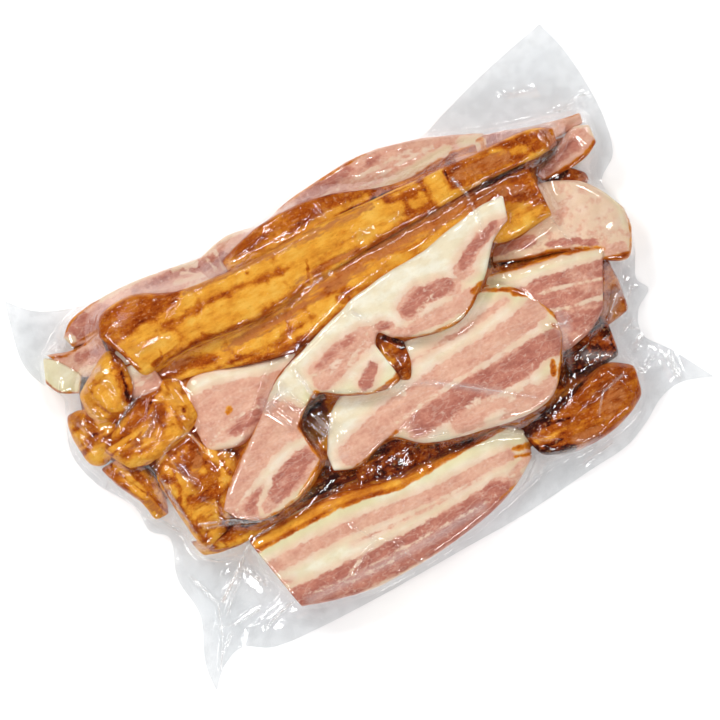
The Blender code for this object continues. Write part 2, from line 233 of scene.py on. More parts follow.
def piece_skin(rows, low, tops, power, seed, roughness, creased):
    """Rings of a loft: middle + across * half width + upward * half height, where across and
    upward run round a superellipse. Towards an end both shrink by
    (1 - (1 - d / round)^power)^(1 / power), d being the distance to that end. Creases are
    valleys where a random relief crosses zero, drawn out along the piece."""
    rows = np.array(rows, float)
    rough = smooth_rows(rows, np.linspace(0, len(rows) - 1, LINE_POINTS))
    centre_line = (rough[:, :2] + rough[:, 2:]) / 2
    length = np.linalg.norm(np.diff(centre_line, axis=0), axis=1).sum()
    half_width = np.linalg.norm(rough[:, :2] - rough[:, 2:], axis=1).mean() / 2
    across, upward = even_section(half_width, (np.mean(tops) - low) / 2, power)
    along, run = stations(length)
    share = along / length
    places = smooth_rows(rows, share * (len(rows) - 1))
    back, front = places[:, None, :2], places[:, None, 2:]
    top = np.interp(share, np.linspace(0, 1, len(tops)), tops)[:, None]
    ends = np.clip(np.minimum(along, length - along) / run, 0, 1)
    shrink = ((1 - (1 - ends) ** power) ** (1 / power))[:, None]
    plan = (back + front) / 2 + (back - front) / 2 * (across * shrink)[..., None]
    height = (top + low) / 2 + (top - low) / 2 * upward * shrink
    rings = np.concatenate([plan, height[..., None]], axis=-1)
    spine = np.concatenate([(back + front) / 2, ((top + low) / 2)[..., None]], axis=-1)
    outward = rings - spine
    outward /= np.maximum(np.linalg.norm(outward, axis=-1, keepdims=True), 0.01)
    for size, depth in LUMPS:
        relief = lumps(rings + PIECE_FIELD, size, seed) * depth * roughness * shrink
        rings = rings + outward * relief[..., None]
    way = centre_line[-1] - centre_line[0]
    way /= np.linalg.norm(way)
    drawn = plan @ way * CREASE_DRAW, plan @ (-way[1], way[0]), rings[..., 2]
    drawn = np.stack(drawn, axis=-1) + PIECE_FIELD
    valley = np.zeros(plan.shape[:-1])
    for size, share in MEAT_CREASES:
        near_zero = 1 - np.abs(lumps(drawn, size, seed + CREASE_SEED)) / CREASE_SHARE
        valley = np.maximum(valley, near_zero.clip(0) ** 2 * share)
    rings = rings - outward * (valley * creased * shrink)[..., None]
    rings[..., 2] = np.maximum(rings[..., 2], low)
    onward = np.diff(centre_line, axis=0)
    sideways = rough[1:, :2] - rough[1:, 2:]
    if (onward[:, 0] * sideways[:, 1] - onward[:, 1] * sideways[:, 0]).sum() < 0:
        return rings[:, ::-1], outward[:, ::-1], valley[:, ::-1]
    return rings, outward, valley


print("lumps of", [size for size, _ in LUMPS], "mm")

# %% [markdown]
# ## Where lean, fat and smoke lie
# Pork belly is layers of lean and fat. On each piece they are drawn as strokes, the way a brush
# would: a line with a half width at its start and end. The value kept at a point is how far it
# lies inside the lean, in mm, positive in lean and negative in fat. A material can then put
# the border exactly where the value crosses zero and make it ragged with noise, however coarse
# the mesh is. Two more values say in the same way where the meat is dark and where it is smoked.

# %% Strokes
FAR = 9.0  # mm
NOWHERE, SHORTEST = -1e3, 1e-6
OPPOSITES = (("lean", "fat"), ("dark", "pale"), ("smoke", "clean"))


def stroke_depth(plan, line):
    """How deep each point lies inside a stroke: its half width there less its distance to it."""
    start_width, end_width, *points = line
    points = np.array(points, float)
    steps = np.diff(points, axis=0)
    lengths = np.maximum(np.linalg.norm(steps, axis=1), SHORTEST)
    run = np.concatenate([[0], np.cumsum(lengths)])
    best = np.full(plan.shape[:-1], NOWHERE)
    for start, step, length, before in zip(points, steps, lengths, run):
        t = np.clip(((plan - start) @ step) / length**2, 0, 1)
        gap = np.linalg.norm(plan - start - t[..., None] * step, axis=-1)
        share = (before + t * length) / run[-1]
        best = np.maximum(best, start_width + (end_width - start_width) * share - gap)
    return best


def deepest(plan, lines):
    """How deep each place lies inside the strokes, in mm, cut off as all the depths are."""
    return np.clip(np.maximum.reduce([stroke_depth(plan, line) for line in lines]), -FAR, FAR)


def paint(plan, starts, strokes):
    """The depths of lean, dark and smoke. Each starts at one value, and each stroke in turn
    raises it, or lowers it where the stroke is of the opposite kind."""
    fields = {}
    for adds, removes in OPPOSITES:
        field = np.full(plan.shape[:-1], float(starts[adds]))
        for kind, *line in strokes:
            if kind == adds:
                field = np.maximum(field, stroke_depth(plan, line))
            elif kind == removes:
                field = np.minimum(field, -stroke_depth(plan, line))
        fields[adds] = np.clip(field, -FAR, FAR)
    return fields


print("strokes are cut off at", FAR, "mm")

# %% [markdown]
# ## Node helpers
# A material is a small graph. These helpers add a node with its settings and either plug a value
# into each of its sockets or wire another node's output to it. An effect that several materials
# share becomes a node group with named sockets, built once. `times`, `scaled` and `plus` are
# short names for the Math nodes that are used most.

# %% Nodes, groups and colours
GREY_MIDDLE = 0.5
SOCKET_KINDS = {float: "NodeSocketFloat", tuple: "NodeSocketColor", type(None): "NodeSocketVector"}


def colour(red, green, blue):
    """A colour as a screen shows it, 0 to 255, turned into linear light: (value / 255)^2.2."""
    return (*((np.array((red, green, blue)) / 255) ** 2.2).tolist(), 1.0)


def feed(tree, socket, value):
    """Gives an input a plain value, or wires another node's output to it."""
    if isinstance(value, bpy.types.NodeSocket):
        tree.links.new(value, socket)
    else:
        socket.default_value = value


def add_node(tree, kind, settings=(), inputs=()):
    """A node with its settings and what goes into each of its inputs."""
    node = tree.nodes.new("ShaderNode" + kind)
    for key, value in dict(settings).items():
        setattr(node, key, value)
    for key, value in dict(inputs).items():
        feed(tree, node.inputs[key], value)
    return node


def maths(tree, operation, *values):
    """One Math node on up to three numbers or outputs."""
    return add_node(tree, "Math", {"operation": operation}, enumerate(values)).outputs[0]


def times(tree, first, second):
    """The product of two numbers or outputs."""
    return maths(tree, "MULTIPLY", first, second)


def scaled(tree, value, gain, base):
    """A value times a gain, added to a base."""
    return maths(tree, "MULTIPLY_ADD", value, gain, base)


def plus(tree, first, *others):
    """The sum of several numbers or outputs."""
    for other in others:
        first = maths(tree, "ADD", first, other)
    return first


def around_zero(tree, value, gain):
    """A noise moved so that it swings about 0, times a gain."""
    return scaled(tree, value, gain, -gain * GREY_MIDDLE)


def blend(tree, factor, first, second):
    """A colour between two, as a Mix node gives it."""
    return add_node(tree, "Mix", {"data_type": "RGBA"}, {0: factor, 6: first, 7: second}).outputs[2]


def ramp(tree, value, low, high, low_out=0.0, high_out=1.0):
    """A smooth step from low_out to high_out as the value goes from low to high."""
    inputs = {0: value, 1: low, 2: high, 3: low_out, 4: high_out}
    return add_node(tree, "MapRange", {"interpolation_type": "SMOOTHSTEP"}, inputs).outputs[0]


def tones(tree, value, *stops):
    """A colour that runs through several tones: each stop is a place from 0 to 1 and a colour."""
    node = add_node(tree, "ValToRGB", {}, {0: value})
    elements = node.color_ramp.elements
    for element, (position, tone) in zip((elements[0], elements[1]), (stops[0], stops[-1])):
        element.position, element.color = position, tone
    for position, tone in stops[1:-1]:
        elements.new(position).color = tone
    return node.outputs[0]


def noise(tree, place, size_mm, detail=3.0, stretch=(1.0, 1.0, 1.0)):
    """Noise between 0 and 1 whose lumps are about size_mm across, drawn out by the stretch."""
    scale = tuple(1 / (size_mm * MM * share) for share in stretch)
    placed = add_node(tree, "Mapping", {}, {"Vector": place, "Scale": scale}).outputs[0]
    inputs = {"Vector": placed, "Scale": 1.0, "Detail": detail}
    return add_node(tree, "TexNoise", {}, inputs).outputs[0]


def new_group(name, inputs, outputs):
    """An empty node group with named sockets, and the nodes that its inside starts and ends at."""
    group = bpy.data.node_groups.new(name, "ShaderNodeTree")
    for label, value in inputs.items():
        kind = SOCKET_KINDS[type(value)]
        socket = group.interface.new_socket(label, in_out="INPUT", socket_type=kind)
        if value is not None:
            socket.default_value = value
    for label, kind in outputs.items():
        group.interface.new_socket(label, in_out="OUTPUT", socket_type="NodeSocket" + kind)
    return group, group.nodes.new("NodeGroupInput").outputs, group.nodes.new("NodeGroupOutput").inputs


def use_group(tree, group, **inputs):
    """The group placed in a tree: what goes into its inputs, by name, and its outputs."""
    node = tree.nodes.new("ShaderNodeGroup")
    node.node_tree = group
    for key, value in inputs.items():
        feed(tree, node.inputs[key], value)
    return node.outputs


print("cream as light:", [round(part, 3) for part in colour(241, 226, 190)[:3]])

# %% [markdown]
# ## Ragged borders
# Lean never meets fat along a clean curve. The group takes the depth kept on the mesh, shifts it
# by noise of a given size and turns it into a mask whose edge is as soft as asked. A painted mask
# could do the same, but it would stay as coarse as it was painted.

# %% Group: ragged edge
ragged_edge, entry, leave = new_group(
    "ragged_edge",
    {"Place": None, "Depth": 0.0, "Wobble": 1.0, "Size": 5.0, "Softness": 0.4},
    {"Mask": "Float"},
)
tree = ragged_edge
per_metre = maths(tree, "DIVIDE", 1 / MM, entry["Size"])
cloud = add_node(
    tree, "TexNoise", {},
    {"Vector": entry["Place"], "Scale": per_metre, "Detail": 5.0, "Roughness": 0.68},
).outputs[0]
shifted = scaled(tree, around_zero(tree, cloud, 2.0), entry["Wobble"], entry["Depth"])
lowest = times(tree, entry["Softness"], -1.0)
tree.links.new(ramp(tree, shifted, lowest, entry["Softness"]), leave["Mask"])
print("ragged_edge sockets:", [socket.name for socket in ragged_edge.interface.items_tree])

# %% [markdown]
# ## Cut meat
# A cut face has three tones: cream fat, light pink lean and dark rose lean. Fat next to lean is
# stained pink, and fat next to the smoked rind turns greenish yellow. Inside the lean run fine
# pale threads and small mottling. All of it is solid noise read at the piece's own place, so it
# goes on round the edges.

# %% Group: cut meat
CREAM = colour(238, 224, 193)
WHITE_FAT = colour(246, 239, 218)
OLD_FAT = colour(228, 208, 166)
GREEN_CREAM = colour(229, 218, 172)
PALE_PINK = colour(232, 184, 158)
PINK = colour(219, 162, 139)
ROSE = colour(196, 129, 110)
DEEP_ROSE = colour(166, 96, 84)
FLECK = colour(240, 210, 190)
MOST_STAIN = 0.62

cut_meat, entry, leave = new_group(
    "cut_meat",
    {"Place": None, "Lean": 0.0, "Stain": 0.0, "Dark": 0.0, "Aged": 0.0},
    {"Color": "Color", "Height": "Float"},
)
tree = cut_meat
place = entry["Place"]
broad = noise(tree, place, 22.0, 2.0)
middle = noise(tree, place, 7.0, 3.0, stretch=(1.6, 0.8, 1.0))
fibre = noise(tree, place, 1.9, 3.0, stretch=(2.6, 0.7, 1.0))
grain = noise(tree, place, 1.7, 4.0)
threads = noise(tree, place, 8.0, 4.0, stretch=(1.8, 0.7, 1.0))
flecks = noise(tree, place, 2.6, 3.0)

aged = times(tree, entry["Aged"], ramp(tree, broad, 0.3, 0.62, 0.3, 0.9))
fat = blend(tree, ramp(tree, middle, 0.38, 0.66), CREAM, WHITE_FAT)
fat = blend(tree, aged, fat, GREEN_CREAM)
fat = blend(tree, ramp(tree, grain, 0.5, 0.75, 0.0, 0.3), fat, OLD_FAT)
fat = blend(tree, times(tree, entry["Stain"], MOST_STAIN), fat, PALE_PINK)

depth = scaled(tree, entry["Dark"], 0.52, 0.2)
for cloud, gain in ((middle, 0.9), (fibre, 0.28), (grain, 0.6)):
    depth = plus(tree, depth, around_zero(tree, cloud, gain))
lean = tones(tree, depth, (0.0, PALE_PINK), (0.3, PINK), (0.62, ROSE), (1.0, DEEP_ROSE))
thread = ramp(tree, maths(tree, "ABSOLUTE", around_zero(tree, threads, 1.0)), 0.0, 0.035, 0.24, 0.0)
lean = blend(tree, thread, lean, FLECK)
lean = blend(tree, ramp(tree, flecks, 0.6, 0.74, 0.0, 0.45), lean, FLECK)

tree.links.new(blend(tree, entry["Lean"], fat, lean), leave["Color"])
sunk = times(tree, entry["Lean"], -0.5)
tree.links.new(scaled(tree, fibre, 0.6, plus(tree, sunk, grain)), leave["Height"])
print("cut_meat nodes:", len(cut_meat.nodes))

# %% [markdown]
# ## Smoked outside
# Smoke turns the fat golden and the lean reddish brown, darker along edges, with freckles and burnt
# specks. The hollows of a smoked piece are painted darker as well, as shade, and its pale tan flecks
# are painted glints. The same group serves the slabs, the chunks and the thin rinds of the slices,
# each with its own masks.

# %% Group: smoked crust
PALE_GOLD = colour(248, 190, 84)
GOLD = colour(238, 166, 60)
AMBER = colour(210, 126, 38)
RUST = colour(174, 84, 22)
BROWN = colour(130, 50, 6)
# The darkest tone: burnt crust and specks, and painted shade in gaps and folds.
BURNT_AND_SHADE = colour(58, 18, 3)
TAN = colour(192, 116, 64)
PALE_TAN = colour(214, 148, 96)

smoked_crust, entry, leave = new_group(
    "smoked_crust",
    {"Place": None, "Smoke": 0.0, "Lean": 0.0, "Burnt": 0.0},
    {"Color": "Color", "Height": "Float"},
)
tree = smoked_crust
place, smoke = entry["Place"], entry["Smoke"]
patch = noise(tree, place, 13.0, 5.0)
blotch = noise(tree, place, 5.0, 4.0, stretch=(1.5, 0.9, 1.0))
streak = noise(tree, place, 2.6, 5.0, stretch=(2.8, 0.8, 1.0))
cross = noise(tree, place, 2.0, 4.0, stretch=(0.6, 2.4, 1.0))
grain = noise(tree, place, 0.9, 3.0)
flake = noise(tree, place, 1.5, 3.0, stretch=(1.5, 1.0, 1.0))

uneven = times(tree, around_zero(tree, grain, 1.0), scaled(tree, smoke, 0.3, 0.2))
for cloud, gain in ((patch, 1.0), (streak, 0.55), (blotch, 0.7)):
    uneven = plus(tree, uneven, around_zero(tree, cloud, gain))
depth = scaled(tree, entry["Burnt"], 0.75, scaled(tree, smoke, 0.43, 0.2))
depth = scaled(tree, uneven, scaled(tree, smoke, 0.16, 0.68), depth)
crust = tones(
    tree, depth, (0.0, PALE_GOLD), (0.2, GOLD), (0.42, AMBER), (0.62, RUST), (0.84, BROWN),
    (1.0, BURNT_AND_SHADE),
)
tan = blend(tree, ramp(tree, streak, 0.42, 0.72), TAN, crust)
tanned = times(tree, entry["Lean"], maths(tree, "SUBTRACT", 1.0, entry["Burnt"]))
crust = blend(tree, times(tree, tanned, 0.9), crust, tan)

lines = times(tree, ramp(tree, cross, 0.58, 0.7), scaled(tree, smoke, 0.3, 0.03))
# Pale tan flecks on the smoked parts: painted glints of the film that follows the crust's grain.
glint_flecks = times(tree, ramp(tree, flake, 0.56, 0.68, 0.0, 0.5), smoke)
freckles = ramp(tree, flake, 0.24, 0.34, 0.35, 0.0)
specks = ramp(tree, grain, 0.7, 0.8, 0.0, 0.6)
for mask, tone in ((lines, BROWN), (glint_flecks, PALE_TAN), (freckles, BROWN), (specks, BURNT_AND_SHADE)):
    crust = blend(tree, mask, crust, tone)
tree.links.new(crust, leave["Color"])

height = streak
for cloud, gain in ((cross, 0.6), (blotch, 1.6), (grain, 0.5)):
    height = scaled(tree, cloud, gain, height)
tree.links.new(height, leave["Height"])
print("smoked_crust nodes:", len(smoked_crust.nodes))

# %% [markdown]
# ## Four finishes of bacon
# Each finish is a Principled shader fed by the groups above. A cut face mixes cut meat with a
# smoked rim, the smoked finishes show crust alone. Moist meat is not shiny by itself here: the
# gloss comes from the film that lies on it.

# %% Materials for the meat
MEAT_ROUGHNESS = 0.6
MEAT_GLOSS = 0.05
BUMP_STRENGTH = 0.6
# The burnt mask also takes painted shade: where a smoked piece is painted dark for a gap or fold, it
# turns to the burnt tone.
MOST_BURNT_AND_SHADE = 0.5  # share of the burnt tone
EDGES = {"lean": (3.2, 6.0, 0.65), "dark": (4.0, 8.0, 1.6), "burnt_and_shade": (1.6, 3.0, 0.7)}
SMOKE_EDGES = {True: (1.7, 5.0, 0.6), False: (3.0, 5.0, 1.8)}  # on a cut face, on a crust


def read_depth(tree, name):
    """The depth in mm that the mesh keeps for one look."""
    return add_node(tree, "Attribute", {"attribute_name": name}).outputs["Fac"]


def new_material(name):
    """A material with its tree, its shader and the piece's own coordinates."""
    material = bpy.data.materials.new(name)
    material.use_nodes = True
    tree = material.node_tree
    place = add_node(tree, "TexCoord").outputs["Object"]
    return material, tree, tree.nodes["Principled BSDF"], place


def meat_material(name, raw, relief_mm):
    """Masks from the three depths, then cut meat, crust or both, and a bump from their height.
    An edge is given by its wobble in mm, the wobble's size in mm and its softness in mm."""
    material, tree, shader, place = new_material(name)
    depths = {key: read_depth(tree, key) for key in ("lean", "dark", "smoke")}
    smoke = depths["smoke"]
    masks = {}
    for key, (wobble, size, softness) in (EDGES | {"smoke": SMOKE_EDGES[raw]}).items():
        depth = depths["dark" if key == "burnt_and_shade" else key]
        edge = use_group(
            tree, ragged_edge, Place=place, Depth=depth, Wobble=wobble, Size=size, Softness=softness
        )
        masks[key] = edge["Mask"]
    if raw:
        meat = use_group(
            tree, cut_meat, Place=place, Lean=masks["lean"], Dark=masks["dark"],
            Stain=ramp(tree, depths["lean"], -6.0, 0.5), Aged=ramp(tree, smoke, -9.0, -1.0),
        )
        rim = ramp(tree, smoke, -0.5, 1.6, 0.4, 0.92)
        rim = plus(tree, rim, ramp(tree, smoke, 1.8, 3.8, 0.0, -0.7))
        crust = use_group(tree, smoked_crust, Place=place, Smoke=rim, Burnt=0.0)
        skin = blend(tree, masks["smoke"], meat["Color"], crust["Color"])
        height = meat["Height"]
    else:
        crust = use_group(
            tree, smoked_crust, Place=place, Smoke=masks["smoke"], Lean=masks["lean"],
            Burnt=times(tree, masks["burnt_and_shade"], MOST_BURNT_AND_SHADE),
        )
        skin, height = crust["Color"], crust["Height"]
    relief = {"Strength": BUMP_STRENGTH, "Distance": relief_mm * MM, "Height": height}
    bump = add_node(tree, "Bump", {}, relief)
    tree.links.new(skin, shader.inputs["Base Color"])
    tree.links.new(bump.outputs[0], shader.inputs["Normal"])
    shader.inputs["Roughness"].default_value = MEAT_ROUGHNESS
    shader.inputs["Specular IOR Level"].default_value = MEAT_GLOSS
    return material


finishes = {
    "cut_face": meat_material("cut_face", True, 0.25),
    "pale_fat": meat_material("pale_fat", True, 0.25),
    "smoked_fat": meat_material("smoked_fat", False, 2.0),
    "smoked_lean": meat_material("smoked_lean", False, 2.2),
}
print("finishes:", sorted(finishes))

# %% [markdown]
# ## One maker for every piece
# `bacon` builds a piece: its skin, the swellings and dents of its strokes, its depths of lean,
# dark and smoke, and the mesh. It keeps the rings as well, because the film is drawn over them
# later. A row is a point of the back edge and the point of the front edge across from it, `low`
# and `tops` are the heights of its foot and of its top along the way, and `start` says which
# depths begin at another value than its finish gives. A stroke is a kind, two half widths and
# the points it runs through.

# %% The maker of pieces
SLAB, SLICE, BLOCK, CHUNK = 8.0, 9.0, 5.0, 3.8  # section powers: the higher, the squarer
BELL_RISE = 0.5
FACING_GAIN, FACING_BASE = 2, 0.4
CRUST_CREASE, CREASE_SHADE = 0.7, 4.0
STARTS = {
    "cut_face": {"lean": -FAR, "dark": -2.0, "smoke": -FAR},
    "pale_fat": {"lean": -FAR, "dark": -2.0, "smoke": -4.0},
    "smoked_fat": {"lean": -FAR, "dark": -FAR, "smoke": -3.0},
    "smoked_lean": {"lean": -FAR, "dark": -FAR, "smoke": 3.0},
}
made = {}
crusted = {}


def press(plan, strokes):
    """Relief of the swell and dent strokes: a smooth bell, half as high as its half width."""
    total = np.zeros(plan.shape[:-1])
    for kind, *line in strokes:
        if kind in ("swell", "dent"):
            wide = max(line[:2])
            bell = smooth_step(np.clip(stroke_depth(plan, line) / wide, 0, 1)) * wide * BELL_RISE
            total += bell if kind == "swell" else -bell
    return total


def bacon(name, finish, power, low, tops, rows, strokes, start=(), roughness=1.0, creased=None):
    """A piece from its skin: each ring point moved out by the relief where it faces up, and one depth
    in mm for each look. The creases of a smoked piece are painted darker than the rest, as shade in
    them."""
    smoked = finish.startswith("smoked")
    if creased is None:
        creased = CRUST_CREASE if smoked else 0.0
    rings, outward, valley = piece_skin(rows, low, tops, power, len(made), roughness, creased)
    facing_up = np.clip(outward[..., 2] * FACING_GAIN + FACING_BASE, 0, 1)
    rings = rings + outward * (press(rings[..., :2], strokes) * facing_up)[..., None]
    points, quads, triangles = closed_skin(rings)
    values = paint(points[:, :2], STARTS[finish] | dict(start), strokes)
    if smoked:
        # Painted shade: the smoke depth rises in the creases, so they come out darker.
        hollow = np.concatenate([[0], valley.ravel(), [0]]) * creased
        values["smoke"] = np.clip(values["smoke"] + hollow * CREASE_SHADE, -FAR, FAR)
        crusted[name] = rings
    placed = points + (*DATUM, 0)
    obj = new_mesh("meat_" + name, placed, quads, triangles, values, finishes[finish])
    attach(obj, "root")
    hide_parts(name)
    made[name] = rings
    return obj


print("section powers:", SLAB, SLICE, BLOCK, CHUNK)

# %% [markdown]
# ## The long slice on top
# A slice of belly lies slantwise over everything, its cream back fat along one side and lean
# along the other, with two notches that lower pieces show through.

# %% Diagonal slice
bacon(
    "slice_diagonal", "cut_face", SLICE, 30, (36, 42, 47.4, 48.8, 48.2, 44),
    (
        (-105, -36, -101, -43), (-96, -26, -88, -51), (-78, -12, -66, -49),
        (-62, 0, -46, -38), (-50, 10, -46, -16), (-38, 16, -30, -5),
        (-20, 22, -14, -14), (-4, 27, 2, -21), (5, 29, 14, -19),
        (10, 31, 11, 0), (15, 32, 16, 8), (24, 33, 23, 1),
        (38, 34.3, 38, -6), (58, 35, 60, -8), (75, 39, 80, 5),
        (95, 42, 95, 21), (112, 41, 108, 28),
    ),
    (
        ("lean", 25.5, 14, (-63, -20), (-96, -38)),
        ("fat", 0.6, 1.5, (-99, -39), (-92, -35), (-84, -32.5)),
        ("fat", 1.5, 3.8, (-84, -32.5), (-75, -30)),
        ("fat", 3.8, 2.7, (-75, -30), (-66, -26.5), (-57, -24), (-46, -24)),
        ("fat", 2.3, 0.9, (-75, -33), (-82, -39), (-87, -43), (-88, -48)),
        ("dark", 4, 3.2, (-92, -41.5), (-84, -36.5)),
        ("dark", 6.5, 5.5, (-74, -41), (-60, -34), (-52, -32)),
        ("lean", 2.4, 5.2, (-26, 7), (-15, 10), (-3, 11), (8, 11), (12, 9)),
        ("lean", 4.2, 4.0, (-24, -1), (-14, 0.5), (-5, 4), (5, 6)),
        ("lean", 4.2, 5.0, (-23, 3), (-12, 6), (0, 8.5), (7, 10)),
        ("pale", 5.0, 5.0, (-25, 0), (-12, 3.5), (6, 7)),
        ("fat", 0.7, 0.35, (-29, 5.5), (-22, 4.5), (-12, 5), (-4, 6.5)),
        ("fat", 0.5, 0.3, (-20, 0.5), (-12, 3), (-6, 7), (-2, 11)),
        ("fat", 1.2, 0.5, (-15, -6.5), (-7, -4), (0, 0.5), (9, 4)),
        ("fat", 0.5, 0.35, (-9, -1), (-2, 3.5), (6, 7), (12, 12)),
        ("dark", 1.5, 2, (-22, 8), (-8, 11.5), (2, 12)),
        ("lean", 4.2, 3.2, (-3, -12.5), (4, -7)),
        ("dark", 4.5, 3.5, (-3, -12.5), (4, -7)),
        ("lean", 3.1, 2.2, (18.5, 10.5), (23.5, 8)),
        ("dark", 2.5, 1.5, (18.5, 10.5), (22, 9)),
        ("lean", 4.8, 5.4, (35.5, 10), (46, 13.5), (57, 13.5), (63.5, 10.5)),
        ("lean", 2, 3, (33, 14), (40, 17), (46, 18)),
        ("dark", 4.8, 5, (37, 11), (46, 14), (60, 13)),
        ("fat", 0.3, 0.3, (34, 8), (44, 9), (52, 12)),
        ("lean", 3.2, 5.0, (22, 2), (32, 1), (45, 0.5), (60, 0), (69, 0.5)),
        ("fat", 0.7, 0.5, (30, 4.5), (42, 6.2), (54, 6.8), (66, 4.8)),
        ("lean", 4.6, 3, (72, 15.5), (80, 21.5), (90, 26), (100, 28), (107, 27)),
        ("dark", 3, 2.5, (74, 18), (84, 25), (100, 29)),
        ("lean", 1.5, 1, (66, 4), (72, 3)),
        ("lean", 1.2, 0.8, (73, 12), (78, 12)),
        ("smoke", 0.5, 0.8, (-104, -43), (-88, -51), (-76, -51), (-66, -49)),
        ("smoke", 0.8, 1.6, (-66, -49), (-56, -44.5), (-46, -38.5)),
        ("smoke", 1.4, 1.2, (-45, -36), (-46, -26), (-46.5, -16)),
        ("smoke", 1.6, 2.6, (-46.5, -16), (-38, -10), (-30, -5)),
        ("smoke", 0.5, 0.9, (-30, -5), (-20, -11), (-10, -16), (-2, -20)),
        ("smoke", 1.6, 2.2, (-1, -20), (6, -19.5), (12, -19), (15, -17)),
        ("smoke", 0.8, 0.9, (23, 1), (30, -3.5), (38, -6), (60, -8), (70, -2), (79, 5)),
        ("smoke", 1.6, 1, (72, 3), (78, 5)),
        ("smoke", 0.4, 0.4, (-96, -26), (-78, -12), (-62, 0), (-50, 10)),
        ("dent", 2.5, 2.5, (-50, -18), (-60, -14), (-70, -16)),
        ("dent", 3, 3, (66, 12), (72, 6)),
    ),
)
bacon(
    "crust_peg", "smoked_lean", CHUNK, 22, (41, 44, 40),
    ((9, 4, 12, -19), (18, 10, 19, -22), (27, 3, 25, -14)),
    (
        ("clean", 2, 2.4, (13, 1), (12, -5), (15, -9)),
        ("dark", 2, 2, (18, 4), (25, -3)),
        ("dark", 1, 1.5, (22, -5), (25, -5)),
        ("dent", 3, 3, (15, -9), (22, -8)),
        ("swell", 3, 3, (14, 5), (13, -4)),
    ),
)
print("diagonal slice rings:", made["slice_diagonal"].shape)

# %% [markdown]
# ## Slices in the middle
# The wide middle slice has a smoked rind at its right end and a lobe that reaches left under the
# diagonal one. Bands of pink and cream run along it. The slices beside it are simpler.

# %% Middle slices
bacon(
    "slice_centre", "cut_face", SLICE, 21, (33, 37, 39, 40, 38, 35),
    (
        (-41, -36, -42, -46), (-26, -16, -28, -50), (-4, -8, -6, -45),
        (12, -2, 10, -57), (45, -2, 42, -67), (75, 3, 72, -71),
        (93, -6, 88, -65), (106, -28, 104, -42),
    ),
    (
        ("lean", 0.7, 1.9, (14, -15.5), (35, -14), (55, -13.5), (75, -11.5), (85, -10)),
        ("lean", 5.5, 6.5, (18, -31), (40, -28.5), (65, -27.5), (85, -25.5), (97, -23)),
        ("lean", 7, 8.8, (-29, -43), (-12, -38), (6, -35.5)),
        ("lean", 7, 9, (10, -47), (30, -45), (50, -44.5), (75, -44.5), (98, -42)),
        ("dark", 6, 8, (12, -46), (40, -44), (70, -45), (97, -42)),
        ("lean", 6, 6.5, (32, -57), (50, -60), (70, -63), (83, -63)),
        ("fat", 0.6, 1.3, (0, -39.5), (15, -38.5), (28, -37), (40, -36), (60, -35.5), (75, -34)),
        ("fat", 1.3, 2.7, (75, -34), (90, -33), (103, -34)),
        ("fat", 0.5, 0.8, (22, -58), (30, -51.5), (45, -50), (60, -56), (70, -57)),
        ("fat", 2.6, 2, (46, -63), (56, -63)),
        ("fat", 1.1, 0.8, (60, -58.5), (64, -59.5)),
        ("fat", 3.6, 4.2, (79, -55.5), (91, -53.5)),
        ("smoke", 1.4, 1.8, (92, -52), (89, -58)),
        ("smoke", 1.4, 0.8, (102, -34.5), (104, -38)),
        ("smoke", 1.2, 1.6, (74, 2.5), (84, -2.5), (94, -8), (100, -14)),
        ("smoke", 2.2, 1.4, (92, -8.5), (99, -14)),
        ("smoke", 1.0, 1.2, (100, -14), (103.5, -24), (106, -34), (104, -42), (97, -53), (88, -66)),
        ("smoke", 0.5, 0.9, (-32, -50), (-22, -49), (-10, -46), (-1, -44)),
        ("dent", 2.5, 2.5, (20, -59), (28, -52), (45, -50.5), (62, -57)),
        ("swell", 4, 5, (30, -58), (60, -62)),
    ),
)
bacon(
    "slice_left_mid", "cut_face", SLICE, 6, (32, 36, 37, 36, 34),
    (
        (-97, 22, -98, -4), (-90, 34, -92, -6), (-76, 36, -78, -10),
        (-55, 28, -58, -2), (-30, 22, -34, 4), (-16, 22, -18, 12),
    ),
    (
        ("fat", 4.8, 4, (-93, 31.5), (-76, 31), (-60, 26), (-45, 21), (-20, 20)),
        ("fat", 0.6, 0.7, (-98, -2), (-86, 3), (-75, 5.5), (-66, 5), (-60, 4.5)),
        ("dark", 3, 4, (-80, -1), (-66, 1), (-58, 5)),
        ("fat", 3, 2.5, (-97, -5), (-88, -5.5), (-78, -6)),
        ("smoke", 1.7, 2.1, (-77, 10), (-75.5, 11)),
        ("smoke", 0.4, 0.4, (-98, -4), (-97, 22), (-90, 34)),
    ),
    {"lean": FAR, "dark": -3.5},
)
bacon(
    "slice_right", "cut_face", SLICE, 4, (32, 34, 34, 30),
    ((76, 8, 78, -44), (100, 3, 98, -50), (124, -2, 117, -48), (147, -10, 130, -41)),
    (
        ("fat", 4.6, 3.6, (80, 3), (100, -3), (122, -7), (142, -12)),
        ("fat", 5, 2, (80, -2), (104, -6)),
        ("fat", 0.6, 0.7, (103, -16), (118, -19), (137, -25)),
        ("fat", 0.5, 1.2, (103, -27), (115, -30), (128, -33), (134, -35)),
        ("dark", 3, 6, (109, -34), (118, -38), (124, -42)),
        ("dark", 2, 2, (108, -12), (120, -13)),
        ("smoke", 1.1, 1.1, (78, 8.5), (100, 2.5), (124, -2), (147, -10)),
    ),
    {"lean": FAR, "dark": 0.4, "smoke": -6.0},
)
